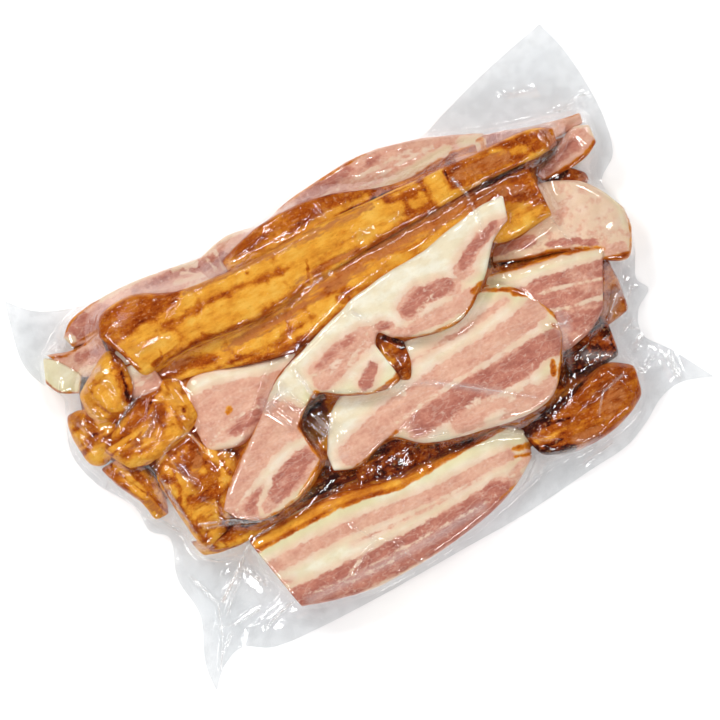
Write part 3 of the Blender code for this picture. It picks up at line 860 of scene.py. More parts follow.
bacon(
    "slice_far_right", "cut_face", SLICE, 4, (24, 28, 29, 28, 24, 18),
    (
        (86, 18, 87, 12), (108, 26, 104, 5), (130, 37, 127, -3),
        (150, 30, 147, -19), (161, 18, 158, -22), (168, 3, 167, -8),
    ),
    (
        ("lean", 3, 4, (94, 16), (104, 15), (113, 12)),
        ("dark", 3.5, 4.5, (94, 16), (104, 15), (113, 12)),
        ("lean", 1.6, 2.4, (121, 5.5), (133, 1), (144, -6)),
        ("dark", 2.5, 3, (121, 5.5), (133, 1), (144, -6)),
        ("lean", 0.35, 0.2, (130, 22), (136, 18.5), (143, 17)),
        ("lean", 0.3, 0.15, (131, 20), (137, 14), (141, 7)),
        ("lean", 3, 2.6, (149, -14), (157, -15)),
        ("fat", 4, 3, (162, 22), (166, 5), (163, -6)),
        ("smoke", 2.8, 1.6, (86, 15), (92, 20), (108, 23), (118, 22)),
        ("smoke", 1.1, 1.2, (88, 11.5), (105, 5), (120, 1.5), (135, -5), (147, -11)),
        ("smoke", 2.4, 1.8, (145, -18), (158, -21)),
        ("smoke", 0.6, 0.6, (158, 24), (166, 12), (169, 0), (163, -14), (159, -20)),
    ),
    {"lean": -0.45, "dark": -3.0, "smoke": -5.5},
)
bacon(
    "end_slice_right", "cut_face", SLICE, 5, (24, 26, 26, 23),
    ((134, 42, 136, 37), (148, 48, 150, 36), (163, 55, 163, 37.5), (173, 52, 172, 42)),
    (
        ("dark", 3.5, 3.5, (138, 43), (160, 46)),
        ("fat", 1.2, 1.5, (163, 57), (172, 52), (173, 44)),
        ("smoke", 1.5, 1.7, (136, 37), (150, 37), (163, 38.5), (171, 42)),
        ("dent", 2.5, 2.5, (140, 45), (152, 48), (164, 52)),
    ),
    {"lean": FAR},
)
print("pieces so far:", len(made))

# %% [markdown]
# ## The striped slab
# At the front lies a thick slab with its cut face up: rind, cream, pink, cream again and dark
# lean, in bands that run its whole length and down its sides.

# %% Striped slab
bacon(
    "slab_bottom", "cut_face", SLAB, 3, (26, 30, 32, 32, 28, 20),
    (
        (-102, -58, -94, -103), (-80, -56, -76, -109), (-50, -57, -50, -114),
        (-15, -66, -18, -114), (20, -69, 20, -109), (50, -70, 42, -102), (62, -80, 57, -93),
    ),
    (
        ("smoke", 4.8, 4.5, (-104, -61), (-75, -61), (-50, -61.5), (-30, -65), (-14, -69)),
        ("smoke", 3.6, 1.0, (-15, -69.3), (0, -70), (15, -69.5), (35, -70.5), (52, -71)),
        (
            "lean", 3.8, 3.4, (-101, -76.5), (-80, -76.5), (-50, -77.5), (-25, -81), (0, -84),
            (25, -84.5), (46, -85.5),
        ),
        ("lean", 0.3, 0.3, (-52, -86), (-30, -88), (0, -89.5), (27, -89)),
        ("lean", 1.6, 1.2, (-97, -86), (-92, -88)),
        (
            "lean", 9.5, 9, (-96, -101), (-80, -102), (-50, -103.5), (-20, -104.5), (10, -104),
            (34, -102),
        ),
        # The front lean band is the lean's own deep rose, painted darker as well for the shade on the
        # slab's lower front.
        ("dark", 9.5, 8.5, (-92, -102), (-50, -103), (-20, -104), (10, -104), (30, -102)),
        ("fat", 0.35, 0.3, (-96, -99.5), (-60, -101.5), (-20, -102), (24, -102)),
        ("fat", 0.7, 0.4, (-60, -99), (-50, -95), (-44, -93)),
        ("fat", 0.4, 0.4, (-66, -104), (-40, -105), (-20, -103)),
        ("lean", 1.2, 2.8, (42, -95.5), (52, -93), (58, -90)),
        ("lean", 2, 2, (34, -99), (46, -98)),
        ("smoke", 0.5, 0.5, (30, -104), (45, -101), (57, -94)),
        ("smoke", 2.6, 1.2, (61, -87), (50, -83.5)),
        ("smoke", 1.2, 0.8, (58, -91), (49, -88)),
    ),
    {"smoke": -6.0},
    roughness=0.7,
)
print("striped slab rings:", made["slab_bottom"].shape)

# %% [markdown]
# ## Smoked slabs
# Three long slabs lie side by side with their smoked outside up. The biggest has a brown cap at
# its left end, golden ridges along it and turns brown towards the right.

# %% Smoked slabs
bacon(
    "slab_main", "smoked_fat", SLAB, 4, (42, 47.6, 48, 47.8, 47.6, 40),
    (
        (-119, 80, -111, 62), (-112, 90, -107, 50), (-92, 91, -90, 50),
        (-70, 82, -70, 50), (-40, 77.5, -35, 46), (0, 76, 0, 48.5),
        (40, 74, 40, 51), (100, 69, 100, 52), (140, 66, 138, 50), (154, 60, 152, 51),
    ),
    (
        ("smoke", 9.5, 7, (-112, 81), (-98, 82.5), (-84, 84), (-74, 83)),
        ("smoke", 3, 1.6, (-118, 78), (-113, 66), (-109, 56)),
        ("smoke", 0.4, 0.8, (-92, 66), (-75, 67.5)),
        ("smoke", 0.8, 1.7, (-75, 67.5), (-55, 67.5), (-40, 67), (-24, 64)),
        ("smoke", 1.2, 1.4, (-100, 52), (-70, 51), (-40, 47), (-10, 50)),
        ("lean", 1.8, 2.4, (-66, 78), (-45, 77), (-25, 75.5), (0, 73), (15, 72), (45, 71)),
        ("lean", 2.6, 2.2, (-20, 76), (0, 74), (14, 73)),
        ("smoke", 1.0, 0.4, (-24, 64), (-10, 63)),
        ("smoke", 0.5, 0.9, (-100, 64), (-88, 66), (-70, 68)),
        ("lean", 1, 1.6, (-10, 54), (15, 54.5), (28, 53)),
        ("smoke", 0.8, 1.2, (2, 54), (15, 53.5), (28, 52.5)),
        ("smoke", 1.6, 3.2, (30, 51), (55, 52), (75, 53)),
        ("smoke", 1.6, 2.5, (55, 69), (70, 66)),
        ("smoke", 1.2, 1.4, (76, 69), (77, 54)),
        ("smoke", 1.0, 1.2, (64, 69), (62, 55)),
        ("smoke", 7, 8.5, (95, 63), (108, 61), (124, 59)),
        ("lean", 3, 4, (96, 62), (122, 59)),
        ("smoke", 5, 6, (124, 56), (138, 60), (150, 56)),
        ("clean", 1.6, 2.2, (119, 64), (126, 60), (134, 58)),
        # Painted shade in the crease at x = 90, which a dent follows below.
        ("dark", 0.9, 0.8, (90, 68), (90.5, 61)),
        ("dark", 1, 0.8, (73, 66), (76, 64)),
        ("dark", 0.9, 0.9, (-31, 71), (-30.7, 71)),
        ("dark", 0.7, 0.9, (1, 62), (-1, 57), (-4, 51)),
        ("dark", 0.5, 0.5, (-93, 58), (-94, 53)),
        ("dent", 1.6, 1.8, (-96, 66), (-75, 67.5), (-50, 69), (-15, 65.5)),
        ("dent", 2, 2, (5, 68), (18, 66), (30, 67)),
        ("dent", 4, 4, (-84, 74.5), (-74, 77)),
        ("dent", 2, 2, (-6, 57), (8, 55), (25, 54)),
        ("dent", 2.2, 2.2, (90, 68), (90.5, 54)),
        ("dent", 2.4, 2.4, (62, 66), (60, 55)),
        ("swell", 4, 4, (33, 62), (40, 58)),
        ("dent", 2.2, 2.2, (140, 64), (139, 52)),
        ("swell", 3, 3, (147, 61), (146, 53)),
    ),
    roughness=1.1,
)
bacon(
    "slab_front", "smoked_fat", SLAB, 4, (34, 40, 43, 42, 38),
    (
        (-104, 48, -99, 38), (-80, 51, -78, 35), (-40, 47, -48, 25),
        (-10, 48, -20, 22), (30, 51, 25, 31), (75, 52, 75, 33),
        (105, 52, 100, 19), (132, 50, 131, 19),
    ),
    (
        ("smoke", 0.4, 0.6, (-70, 34), (-40, 31), (-10, 33)),
        ("smoke", 3.6, 2.6, (-98, 45), (-82, 43), (-70, 40)),
        ("lean", 1.6, 2, (-100, 46), (-82, 46)),
        ("lean", 2.4, 4, (-62, 42), (-40, 40.5), (-25, 40.5), (-5, 43), (12, 45)),
        ("lean", 4.4, 5.6, (8, 44), (30, 46.5), (50, 47), (98, 47)),
        ("smoke", 0.2, 1.4, (-50, 42), (-20, 41), (0, 42), (12, 45)),
        ("smoke", 1.8, 3.6, (12, 46), (30, 47.5), (50, 47.5), (98, 47)),
        ("smoke", 1.4, 1.4, (2, 41), (9, 38), (12, 33)),
        ("smoke", 8, 9, (98, 46), (112, 45), (126, 40)),
        ("smoke", 3, 3, (124, 34), (126, 30)),
        ("smoke", 1.4, 2.2, (-60, 28), (-45, 25), (-30, 24), (-15, 24), (5, 29)),
        # Painted shade in the hollow of the dent below.
        ("dark", 2, 2.4, (6, 35), (10, 31.5)),
        ("dark", 1.2, 1.2, (100, 50.5), (130, 49.5)),
        ("dent", 1.8, 1.8, (-60, 38), (-30, 36.5), (0, 40), (30, 42), (60, 42)),
        ("dent", 3, 3, (6, 36), (12, 32)),
        ("clean", 1.6, 1.8, (110, 22.5), (131, 23)),
        ("smoke", 0.4, 0.8, (108, 27), (130, 28)),
        ("lean", 3, 3, (104, 46), (122, 40)),
        ("swell", 4, 4, (116, 35), (122, 40)),
        ("dent", 3, 3, (109, 31), (122, 30), (129, 31)),
    ),
    {"smoke": -2.2},
    roughness=1.2,
)
bacon(
    "slab_back", "smoked_lean", SLAB, 6, (34, 42, 43, 38, 30),
    (
        (-40, 84, -40, 74), (-20, 90, -20, 73), (5, 91.5, 5, 72), (30, 87, 30, 70),
        (58, 77, 58, 66), (80, 73, 80, 62), (99, 75, 99, 62),
    ),
    (
        ("clean", 2.4, 2.2, (-38, 80), (-20, 78), (0, 77), (20, 77.5), (35, 77), (46, 76)),
        ("clean", 0.9, 0.9, (-20, 81.3), (0, 81)),
        ("dark", 1.2, 1.4, (30, 74.5), (50, 73), (62, 71)),
        ("swell", 2.6, 2.6, (-36, 83.5), (-15, 84), (0, 83.5)),
        ("swell", 2.2, 2.2, (-12, 78.5), (2, 78), (15, 79.5)),
        ("dent", 2, 2, (-30, 80.5), (0, 80.5)),
    ),
    {"dark": -1.0, "smoke": 4.2},
    roughness=1.1,
    creased=0.25,
)
print("slabs:", [name for name in made if name.startswith("slab")])

# %% [markdown]
# ## Chunks at the left end
# The left end is a jumble of folded trimmings: golden fat outside, reddish brown in the folds.
# Their folds are strokes that swell and dent the skin, and thin dark strokes along some dents paint
# the shade in the folds.

# %% Left chunks
bacon(
    "chunk_left_mid", "smoked_fat", CHUNK, 4, (30, 38, 40, 38),
    (
        (-149, 26, -140, 9), (-133, 35, -128, 5), (-112, 44, -107, 9),
        (-96, 44, -94, 13), (-92, 34, -92, 18),
    ),
    (
        ("smoke", 2.6, 3.6, (-138, 17), (-124, 16), (-114, 21), (-108, 30)),
        ("smoke", 1.6, 2.6, (-122, 32), (-113, 36.5), (-105, 40)),
        ("smoke", 1.2, 0.8, (-104, 14), (-102, 24), (-104, 33)),
        ("lean", 1.4, 1.8, (-134, 19), (-122, 21), (-113, 28)),
        ("dark", 0.9, 1.2, (-129, 21), (-125, 22.5)),
        ("dark", 1.2, 0.9, (-98, 22.5), (-96, 24)),
        # Painted shade in the fold of the dent through the same points.
        ("dark", 0.3, 0.5, (-138, 26), (-127, 26), (-118, 30), (-109, 37)),
        ("clean", 0.9, 0.9, (-131, 15.5), (-119, 17), (-112, 23)),
        ("dent", 4, 4, (-136, 17), (-120, 18), (-111, 27)),
        ("dent", 1.6, 1.8, (-138, 26), (-127, 26), (-118, 30), (-108, 38)),
        ("dent", 1.6, 1.8, (-104, 15), (-102.5, 25), (-105, 38)),
        ("swell", 4, 4, (-142, 21), (-126, 9.5), (-106, 13)),
        ("swell", 4, 4.5, (-98, 17), (-97, 30), (-100, 40)),
        ("swell", 3, 3, (-138, 29), (-126, 31), (-114, 40)),
    ),
    {"smoke": -1.4},
    roughness=1.8,
    creased=1.3,
)
bacon(
    "chunk_left_top", "smoked_fat", CHUNK, 4, (30, 39, 41, 38),
    ((-145, 58, -146, 44), (-131, 66, -134, 35), (-119, 71, -122, 40), (-113, 63, -115, 48)),
    (
        ("smoke", 2.2, 3.2, (-116, 67), (-119, 55), (-121, 43)),
        ("smoke", 1.6, 2.2, (-136, 38), (-128, 37)),
        ("dark", 0.6, 1.0, (-117, 58), (-119, 50), (-122, 42)),
        ("dent", 2.4, 2.6, (-141, 54), (-138, 46), (-133, 38)),
        ("dent", 1.6, 1.8, (-132, 62), (-128.5, 52), (-131, 42)),
        ("dent", 1.6, 1.6, (-127, 66), (-121, 58), (-120, 50)),
        ("swell", 3.4, 3.4, (-137, 58), (-134, 50), (-133, 44)),
        ("swell", 3, 3, (-125, 60), (-124, 50), (-126, 41)),
    ),
    {"smoke": -2.6},
    roughness=1.5,
    creased=0.8,
)
bacon(
    "pale_slice_left", "cut_face", SLICE, 4, (32, 37, 38),
    ((-121, 66, -120, 41), (-111, 70, -110, 39), (-102, 62, -100, 40)),
    (
        ("lean", 4.5, 5, (-120, 45), (-103, 45)),
        ("pale", 8, 8, (-120, 46), (-103, 46)),
        ("fat", 0.7, 0.7, (-118, 48), (-110, 47), (-104, 48)),
    ),
)
bacon(
    "chunk_left_front", "smoked_fat", BLOCK, 4, (31, 36, 35, 31, 24),
    (
        (-124, 7, -101, 12), (-129, -4, -96, 1), (-128.5, -20, -85, -15),
        (-128, -38, -99, -34), (-125, -51, -110, -47),
    ),
    (
        ("smoke", 7, 9, (-111, 7), (-108, -6), (-105, -14)),
        ("smoke", 2.5, 2, (-126, 0), (-123, -7)),
        ("clean", 1.5, 1.9, (-109, -8), (-105, -11)),
        ("clean", 1.0, 1.0, (-121, 2), (-110, 3), (-102, 5)),
        ("smoke", 2.6, 2.4, (-118, -23), (-108, -26), (-97, -26)),
        ("clean", 1.3, 1.6, (-99, -20), (-88, -16)),
        ("lean", 2, 2.4, (-112, -14), (-103, -3)),
        # Painted shade in the fold of the dent through nearly the same points.
        ("dark", 0.5, 0.5, (-117, -20), (-108, -22.5), (-98, -21.5)),
        ("smoke", 1.2, 1.6, (-127, -12), (-125, -30), (-123, -44)),
        ("smoke", 0.6, 0.8, (-120, -33), (-104, -36)),
        # Painted shade in the folds of the two dents through nearly the same points.
        ("dark", 0.4, 0.3, (-120, -27.5), (-111, -28.5), (-103, -33)),
        ("dark", 0.4, 0.3, (-121, -42), (-107, -42)),
        ("dark", 0.5, 0.5, (-102, -1), (-101, -9)),
        ("dent", 5, 5, (-111, 3), (-108, -13)),
        ("dent", 2, 2, (-118, -21), (-108, -23), (-98, -22)),
        ("dent", 2, 2, (-121, -28), (-111, -28.5), (-103, -32)),
        ("dent", 1.6, 1.6, (-119, -36), (-106, -38)),
        ("dent", 2, 2, (-121, -42.5), (-107, -42)),
        ("swell", 4, 4.5, (-123, -8), (-123, -23), (-121, -37)),
        ("swell", 2.6, 2.6, (-116, -25), (-100, -26.5), (-90, -20)),
        ("swell", 3, 3, (-102, 8), (-100, -3), (-99, -12)),
        ("swell", 2.4, 2.4, (-109, 6), (-107, -8)),
    ),
    {"smoke": -1.8},
    roughness=1.6,
    creased=1.1,
)
print("left chunks:", [name for name in made if name.startswith("chunk_left")])

# %% [markdown]
# ## Scraps along the left edge
# Smaller trimmings lie outside the chunks: two folded flaps, a strip of crust under them, and
# pale ends of slices that stick out at the back.

# %% Scraps at the left edge
bacon(
    "chunk_left_outer", "smoked_lean", CHUNK, 3, (20, 27, 31, 31),
    (
        (-160, 40, -159, 22), (-156, 51, -151, 17), (-146, 50, -140, 22),
        (-135, 42, -133, 32),
    ),
    (
        ("clean", 2.0, 1.6, (-159, 41), (-153, 40)),
        ("clean", 2.0, 1.8, (-152, 21), (-145, 25), (-137, 29)),
        ("clean", 2.0, 2.2, (-150, 47), (-147, 38), (-139, 37)),
        ("clean", 0.9, 0.8, (-157, 31), (-155, 23)),
        ("clean", 0.9, 0.8, (-146, 33), (-145, 25)),
        ("lean", 2.2, 2, (-155, 49), (-151, 44)),
        # Painted shade in the fold of the dent beside it.
        ("dark", 0.6, 0.8, (-158, 33), (-150, 35), (-142, 34)),
        ("clean", 0.8, 0.8, (-154, 34), (-153, 22)),
        ("dent", 1.8, 1.8, (-154, 45), (-151, 31), (-149, 19)),
        ("dent", 1.8, 1.8, (-145, 47), (-144, 36), (-142, 26)),
        ("dent", 1.8, 1.8, (-159, 35), (-150, 37)),
        ("swell", 2.6, 2.6, (-156, 38), (-155, 24)),
        ("swell", 2.6, 2.6, (-148, 44), (-147, 27)),
    ),
    {"smoke": -1.0},
    roughness=1.8,
    creased=1.3,
)
bacon(
    "flap_left_lower", "smoked_fat", CHUNK, 3, (20, 26, 24, 16),
    ((-156, 17, -139, 17), (-150, 4, -132, 5), (-144, -9, -129.5, -8), (-142, -23, -132, -23)),
    (
        ("smoke", 2.6, 2.2, (-152, 15), (-148, 3), (-141, -9)),
        ("smoke", 1.4, 1.4, (-138, 6), (-133, -6)),
        ("clean", 2.2, 2.0, (-143, 0), (-139, -12)),
        ("lean", 2.6, 2, (-140, -13), (-137, -20)),
        # Painted shade in the fold of the first dent below.
        ("dark", 0.3, 0.4, (-148, 16), (-144, 4), (-138, -8)),
        ("dent", 1.8, 1.8, (-149, 16), (-144, 4), (-138, -10)),
        ("dent", 1.6, 1.6, (-142, 15), (-137, 2), (-133, -8)),
        ("swell", 2.4, 2.4, (-151, 13), (-146, 1), (-141, -8)),
        ("swell", 2.4, 2.4, (-144, 12), (-138, -2)),
    ),
    {"smoke": -1.6, "lean": -1.0},
    roughness=1.8,
    creased=1.2,
)
bacon(
    "strip_bottom_left", "smoked_fat", CHUNK, 4, (16, 25, 27, 24),
    (
        (-131, -41, -128, -53), (-118, -45, -112, -57), (-95, -46, -92, -58),
        (-71, -49, -69, -58),
    ),
    (
        ("smoke", 3, 5, (-112, -50), (-92, -52), (-75, -53)),
        ("dark", 2.4, 3, (-99, -48), (-80, -50)),
        # Painted shade in the fold of the first dent below.
        ("dark", 0.7, 0.7, (-125, -45), (-119, -52)),
        ("clean", 1, 1, (-110, -54), (-98, -54.5)),
        ("dent", 1.8, 1.8, (-124, -44), (-118, -53)),
        ("dent", 1.4, 1.4, (-112, -51), (-92, -53)),
        ("swell", 3, 3, (-127, -47), (-124, -50)),
    ),
    {"smoke": -1},
    roughness=1.8,
    creased=1.2,
)
bacon(
    "flap_left_back", "cut_face", SLICE, 3, (16, 22, 28),
    ((-150, 86, -146, 79), (-135, 81, -138, 66), (-118, 83, -120, 64)),
    (
        ("dark", 3, 3, (-134, 76), (-122, 74)),
        ("fat", 2.4, 2, (-138, 68), (-128, 67)),
        ("smoke", 0.9, 0.6, (-150, 84), (-140, 80.5), (-128, 81), (-118, 83)),
    ),
    {"lean": FAR},
)
bacon(
    "tag_left", "pale_fat", SLICE, 3, (14, 20, 24),
    ((-153, 85, -158, 73), (-146, 80, -154, 65), (-138, 67, -144, 59)),
    (
        ("smoke", 0.7, 0.9, (-158, 74), (-154, 65), (-145, 59)),
    ),
)
print("left end pieces:", [name for name in made if "left" in name])

# %% [markdown]
# ## Slices along the back
# Behind the slabs stand three slices and a thin strip, seen along their upper edges: rose lean
# with a cream rim at the left, bands of pink and cream at the right.

# %% Back slices
bacon(
    "back_slice_right", "cut_face", SLICE, 3, (26, 31, 31, 29, 24),
    (
        (-14, 90, -13, 80), (10, 96, 12, 78), (55, 98, 50, 73), (85, 91, 85, 67),
        (120, 76, 114, 66),
    ),
    (
        ("dark", 4, 3, (15, 93), (45, 94)),
        ("dark", 1.4, 1.4, (57, 92), (62, 92)),
        ("pale", 3, 3, (60, 88), (90, 84)),
        ("fat", 0.7, 0.8, (22, 88.5), (45, 88.5), (65, 88), (82, 87)),
        ("fat", 0.8, 0.9, (20, 83.5), (50, 82.5), (70, 84), (92, 83.5)),
        ("fat", 2.4, 3.4, (48, 77), (75, 77.5), (98, 78)),
        ("fat", 4, 4, (108, 77), (116, 74)),
        ("smoke", 2.8, 3.2, (50, 72), (70, 71), (92, 73)),
        ("smoke", 2, 2.4, (99, 74), (112, 71)),
        ("smoke", 0.7, 0.7, (-10, 93), (20, 97), (58, 98)),
    ),
    {"lean": FAR},
)
bacon(
    "strip_back_right", "cut_face", SLICE, 4, (24, 26, 24, 18),
    ((104, 79, 103, 68), (130, 72, 128, 62), (155, 64, 152, 55), (172, 60, 171, 55)),
    (
        ("dark", 5, 3, (120, 70), (150, 62)),
        ("fat", 5, 3, (104, 74), (116, 73)),
        ("smoke", 1.2, 1.2, (104, 77), (117, 74), (116, 69)),
        ("smoke", 0.8, 0.9, (164, 62), (171, 61)),
    ),
    {"lean": FAR},
)
bacon(
    "back_slice_left", "cut_face", SLICE, 3, (20, 25, 27, 24),
    ((-137, 90, -135, 83), (-125, 98, -118, 79), (-95, 98.5, -90, 80), (-48, 92, -46, 76)),
    (
        ("dark", 6.5, 6, (-127, 91), (-112, 90)),
        ("dark", 2.4, 2.4, (-90, 93), (-66, 91), (-50, 87)),
        ("fat", 2.6, 2.4, (-137, 88), (-133, 87)),
        ("fat", 1, 1.3, (-110, 98), (-85, 97.5), (-60, 95.5), (-48, 93)),
        ("fat", 1.6, 2.2, (-66, 93.5), (-60, 93), (-54, 91)),
        ("fat", 1.4, 1.4, (-68, 86), (-58, 84), (-46, 80)),
        ("fat", 1.8, 1.8, (-65, 80), (-45, 78)),
        ("fat", 0.9, 0.7, (-62, 89), (-56, 85)),
        ("smoke", 0.8, 0.7, (-136, 92), (-125, 97.5), (-110, 99)),
        ("smoke", 0.7, 0.7, (-136, 84), (-118, 84)),
    ),
    {"lean": FAR},
)
bacon(
    "back_slice_middle", "cut_face", SLICE, 3, (24, 28, 26),
    ((-54, 90, -53, 78), (-32, 95.5, -32, 76), (-6, 90, -7, 77)),
    (
        ("fat", 1.6, 1.2, (-50, 92.5), (-32, 94.5), (-14, 93)),
        ("dark", 4, 3, (-50, 87), (-38, 86)),
        ("fat", 1.2, 1.2, (-40.5, 91), (-41, 80)),
        ("fat", 0.8, 0.8, (-47, 89), (-45, 82)),
    ),
    {"lean": FAR},
)
print("back pieces:", [name for name in made if "back" in name])

# %% [markdown]
# ## Dark pieces between and chunks at the right end
# Lean trimmings, smoked dark, fill the gaps between the slices and pile up at the right end. Where
# they lie deep between the slices they are painted nearly black, as shade.

# %% Dark pieces and right chunks
bacon(
    "chunk_right_front", "smoked_lean", CHUNK, 3, (24, 30, 33, 33, 26),
    (
        (58, -78, 62, -94), (75, -74, 78, -101), (100, -70, 98, -102),
        (118, -67, 117, -98), (131, -76, 127, -92),
    ),
    (
        ("lean", 3.4, 5.4, (104, -91), (114, -85)),
        ("lean", 2, 2.6, (82, -95), (96, -97)),
        ("dark", 1.8, 1.4, (64, -97), (60, -84)),
        ("dark", 4.6, 3.0, (60, -78), (80, -74.5), (98, -69)),
        ("smoke", 6, 6, (64, -88), (78, -90)),
        ("dark", 2.4, 3.0, (60, -93), (70, -96), (78, -99)),
        ("dark", 1.2, 0.6, (64, -81), (74, -81), (86, -84)),
        ("dark", 1.2, 0.8, (66, -91), (76, -92)),
        ("clean", 0.9, 0.8, (62, -86), (72, -88), (80, -87)),
        ("swell", 7, 7, (84, -82), (98, -77), (114, -73)),
        ("dent", 2, 2, (101, -85), (109, -79), (120, -77), (127, -79)),
        ("dent", 3, 3, (82, -95), (100, -96)),
    ),
    {"dark": -0.8, "smoke": 5.0},
    roughness=1.2,
    creased=0.2,
)
bacon(
    "chip_dark_right", "smoked_lean", CHUNK, 4, (20, 25, 18),
    ((137, 34, 141, 28), (149, 38, 150, 24), (159, 31, 159, 25)),
    (("dark", 1.5, 1, (140, 33), (150, 36)),),
    roughness=1.4,
)
bacon(
    "chunk_dark_centre", "smoked_lean", CHUNK, 5, (26, 30, 29, 24),
    ((-34, -44, -33, -62), (-12, -42, -12, -66), (10, -48, 12, -68), (34, -58, 34, -70)),
    (
        # The dark band along its back edge is partly the chunk's own dark brown, partly painted
        # shadow under the middle slice's edge.
        ("dark", 6, 4, (-32, -46), (-10, -47), (0, -47)),
        ("clean", 1.4, 1.2, (-31, -52), (-24, -54), (-20, -57)),
        ("clean", 1, 1, (7, -62), (11, -64)),
        ("clean", 1.3, 1, (20, -61), (28, -65)),
        ("swell", 5, 5, (-18, -57), (0, -58)),
        ("dent", 3, 3, (4, -58), (8, -66)),
    ),
    {"dark": 0.0},
    roughness=2.4,
)
# This strip lies deep between the slices and the striped slab: its near-black is partly the dark
# smoked lean, partly painted shade.
bacon(
    "strip_dark", "smoked_lean", CHUNK, 5, (24, 27, 26),
    ((-72, -42, -68, -54), (-48, -40, -46, -56), (-30, -44, -32, -57)),
    (("dark", 9, 9, (-74, -52), (-32, -52)),),
    {"dark": 4.0, "smoke": 6.0},
    roughness=1.4,
)
bacon(
    "chunk_right_mid", "smoked_lean", CHUNK, 4, (24, 28, 22),
    ((98, -48, 98, -66), (114, -46, 114, -68), (130, -46, 127, -66)),
    (
        ("dark", 6, 5, (98, -54), (108, -58)),
        ("dark", 3, 2, (104, -66), (124, -67)),
        ("clean", 0.8, 1.1, (128, -50), (127, -60)),
    ),
    {"dark": 0.2},
    roughness=1.8,
)
bacon(
    "chunk_right_small", "smoked_lean", CHUNK, 4, (20, 21, 16),
    ((132, -14, 148, -18), (128, -30, 146, -34), (127, -50, 142, -48)),
    (
        ("clean", 2.6, 2.2, (136, -40), (135, -47)),
        ("lean", 5, 4.5, (137, -40), (136, -48)),
        ("dark", 2, 2, (138, -22), (133, -33)),
        ("dent", 3, 3, (131, -36), (145, -38)),
        ("swell", 3, 3, (134, -44), (142, -42)),
    ),
    roughness=2.2,
)
print("pieces of bacon:", len(made))

# %% [markdown]
# ## Map of the heap
# The film will be drawn over a map of the heap's heights, one cell a millimetre. The same map
# tells how deep the gaps between the pieces are, so it is made first. A piece is entered by
# raising the cells under its points to their height.

# %% Map of the heap's tops
CELL, BORDER = 1.0, 5.0  # mm
FINER = 3  # points each way for one of a ring's own
CROSS = ((0, 0), (0, 1), (0, -1), (1, 0), (-1, 0))
SQUARE = tuple((i - 1, j - 1) for i, j in np.ndindex(3, 3))
map_low = edge_low - BORDER
map_shape = np.ceil((edge_high + BORDER - map_low) / CELL).astype(int) + 1
map_high = map_low + (map_shape - 1) * CELL
map_lines = (map_low[k] + CELL * np.arange(map_shape[k]) for k in (0, 1))
map_plan = np.stack(np.meshgrid(*map_lines, indexing="ij"), axis=-1)


def between(rings, ahead):
    """The rings and the points on the straight way from each point to the one ahead of it."""
    return np.concatenate([rings + (ahead - rings) * share for share in np.arange(FINER) / FINER])


def enter(field, rings):
    """Raises the map to the height of a surface where the surface is higher. Extra points lie
    between neighbours, along the piece and round it, so that no cell is missed."""
    rings = between(rings, np.concatenate([rings[1:], rings[-1:]]))
    spots = between(rings, np.roll(rings, -1, axis=1)).reshape(-1, 3)
    cell = np.round((spots[:, :2] - map_low) / CELL).astype(int)
    np.maximum.at(field, (cell[:, 0], cell[:, 1]), spots[:, 2])


def read_map(field, plan):
    """Heights at places between cells: the straight blend of the four cells round each."""
    spot = (plan - map_low) / CELL
    low = np.clip(np.floor(spot).astype(int), 0, map_shape - 2)
    t, u = np.moveaxis(spot - low, -1, 0)
    i, j = np.moveaxis(low, -1, 0)
    near = field[i, j] * (1 - t) + field[i + 1, j] * t
    far = field[i, j + 1] * (1 - t) + field[i + 1, j + 1] * t
    return near * (1 - u) + far * u


def average(field, rounds=1):
    """Each cell made the mean of its four neighbours, so many times over."""
    for _ in range(rounds):
        padded = np.pad(field, 1, mode="edge")
        field = (padded[:-2, 1:-1] + padded[2:, 1:-1] + padded[1:-1, :-2] + padded[1:-1, 2:]) / 4
    return field


def spread(field, reach):
    """The highest value within so many cells, as a square and a cross by turns."""
    for turn in range(reach):
        steps = (SQUARE, CROSS)[turn % 2]
        field = np.maximum.reduce([np.roll(field, step, (0, 1)) for step in steps])
    return field


heap, crust_heap = np.zeros(map_shape), np.zeros(map_shape)
for rings in made.values():
    enter(heap, rings)
for rings in crusted.values():
    enter(crust_heap, rings)
print("map of", heap.shape, "cells, highest top", round(float(heap.max()), 1), "mm")

# %% [markdown]
# ## The meat that can't be seen
# Under the pieces lies more bacon. A single closed dome stands for it. Seen through the gaps it
# has to lie a few millimetres below the pieces beside it, so its height is the heap with its
# narrow gaps filled up (spread the heights outward, then shrink them back), less a little.

# %% Core
CORE_TOP, CORE_FLOOR, CORE_INSET = 15.0, 1.2, 4.0  # mm
CORE_RINGS, CORE_RAYS, UNDER_EVERY = 80, 360, 6
CORE_LUMP, CORE_RELIEF, CORE_SEED = 9.0, 1.2, 91
FURTHEST, FULL_HEIGHT = 190, 12.0  # mm out from the hub, and mm high where the heap ends
RIM_EVENED = 3  # rays to each side whose reach limits a ray's own
GAP_REACH, GAP_DEPTH, HIDDEN_BY = 6, 5.0, 3.0  # mm
CORE_START = {"lean": -FAR, "dark": -1.5, "smoke": 3.0}
CORE_STROKES = (
    ("clean", 6.5, 6, (-38, -20), (-36, -30), (-28, -22)),
    ("pale", 7.0, 7.0, (-38, -20), (-30, -25)),
    # The three dark strokes below are painted shade: at the top of the notch under the diagonal
    # slice, and in the gaps at the right.
    ("dark", 2.4, 2.4, (-42, -11), (-28, -8)),
    ("dark", 4, 4, (90, -64), (112, -52)),
    ("dark", 3, 3, (88, 12), (140, -2)),
    ("clean", 3, 3, (-136, 6), (-132, -24)),
    ("clean", 2.6, 2.6, (-100, 50), (-70, 50), (-35, 47), (0, 49), (60, 51)),
)
filled = -spread(-spread(heap, GAP_REACH), GAP_REACH)
core_height = filled - GAP_DEPTH
core_height = np.where(heap > HIDDEN_BY, np.minimum(core_height, heap - HIDDEN_BY), core_height)
core_height = average(core_height, 3)


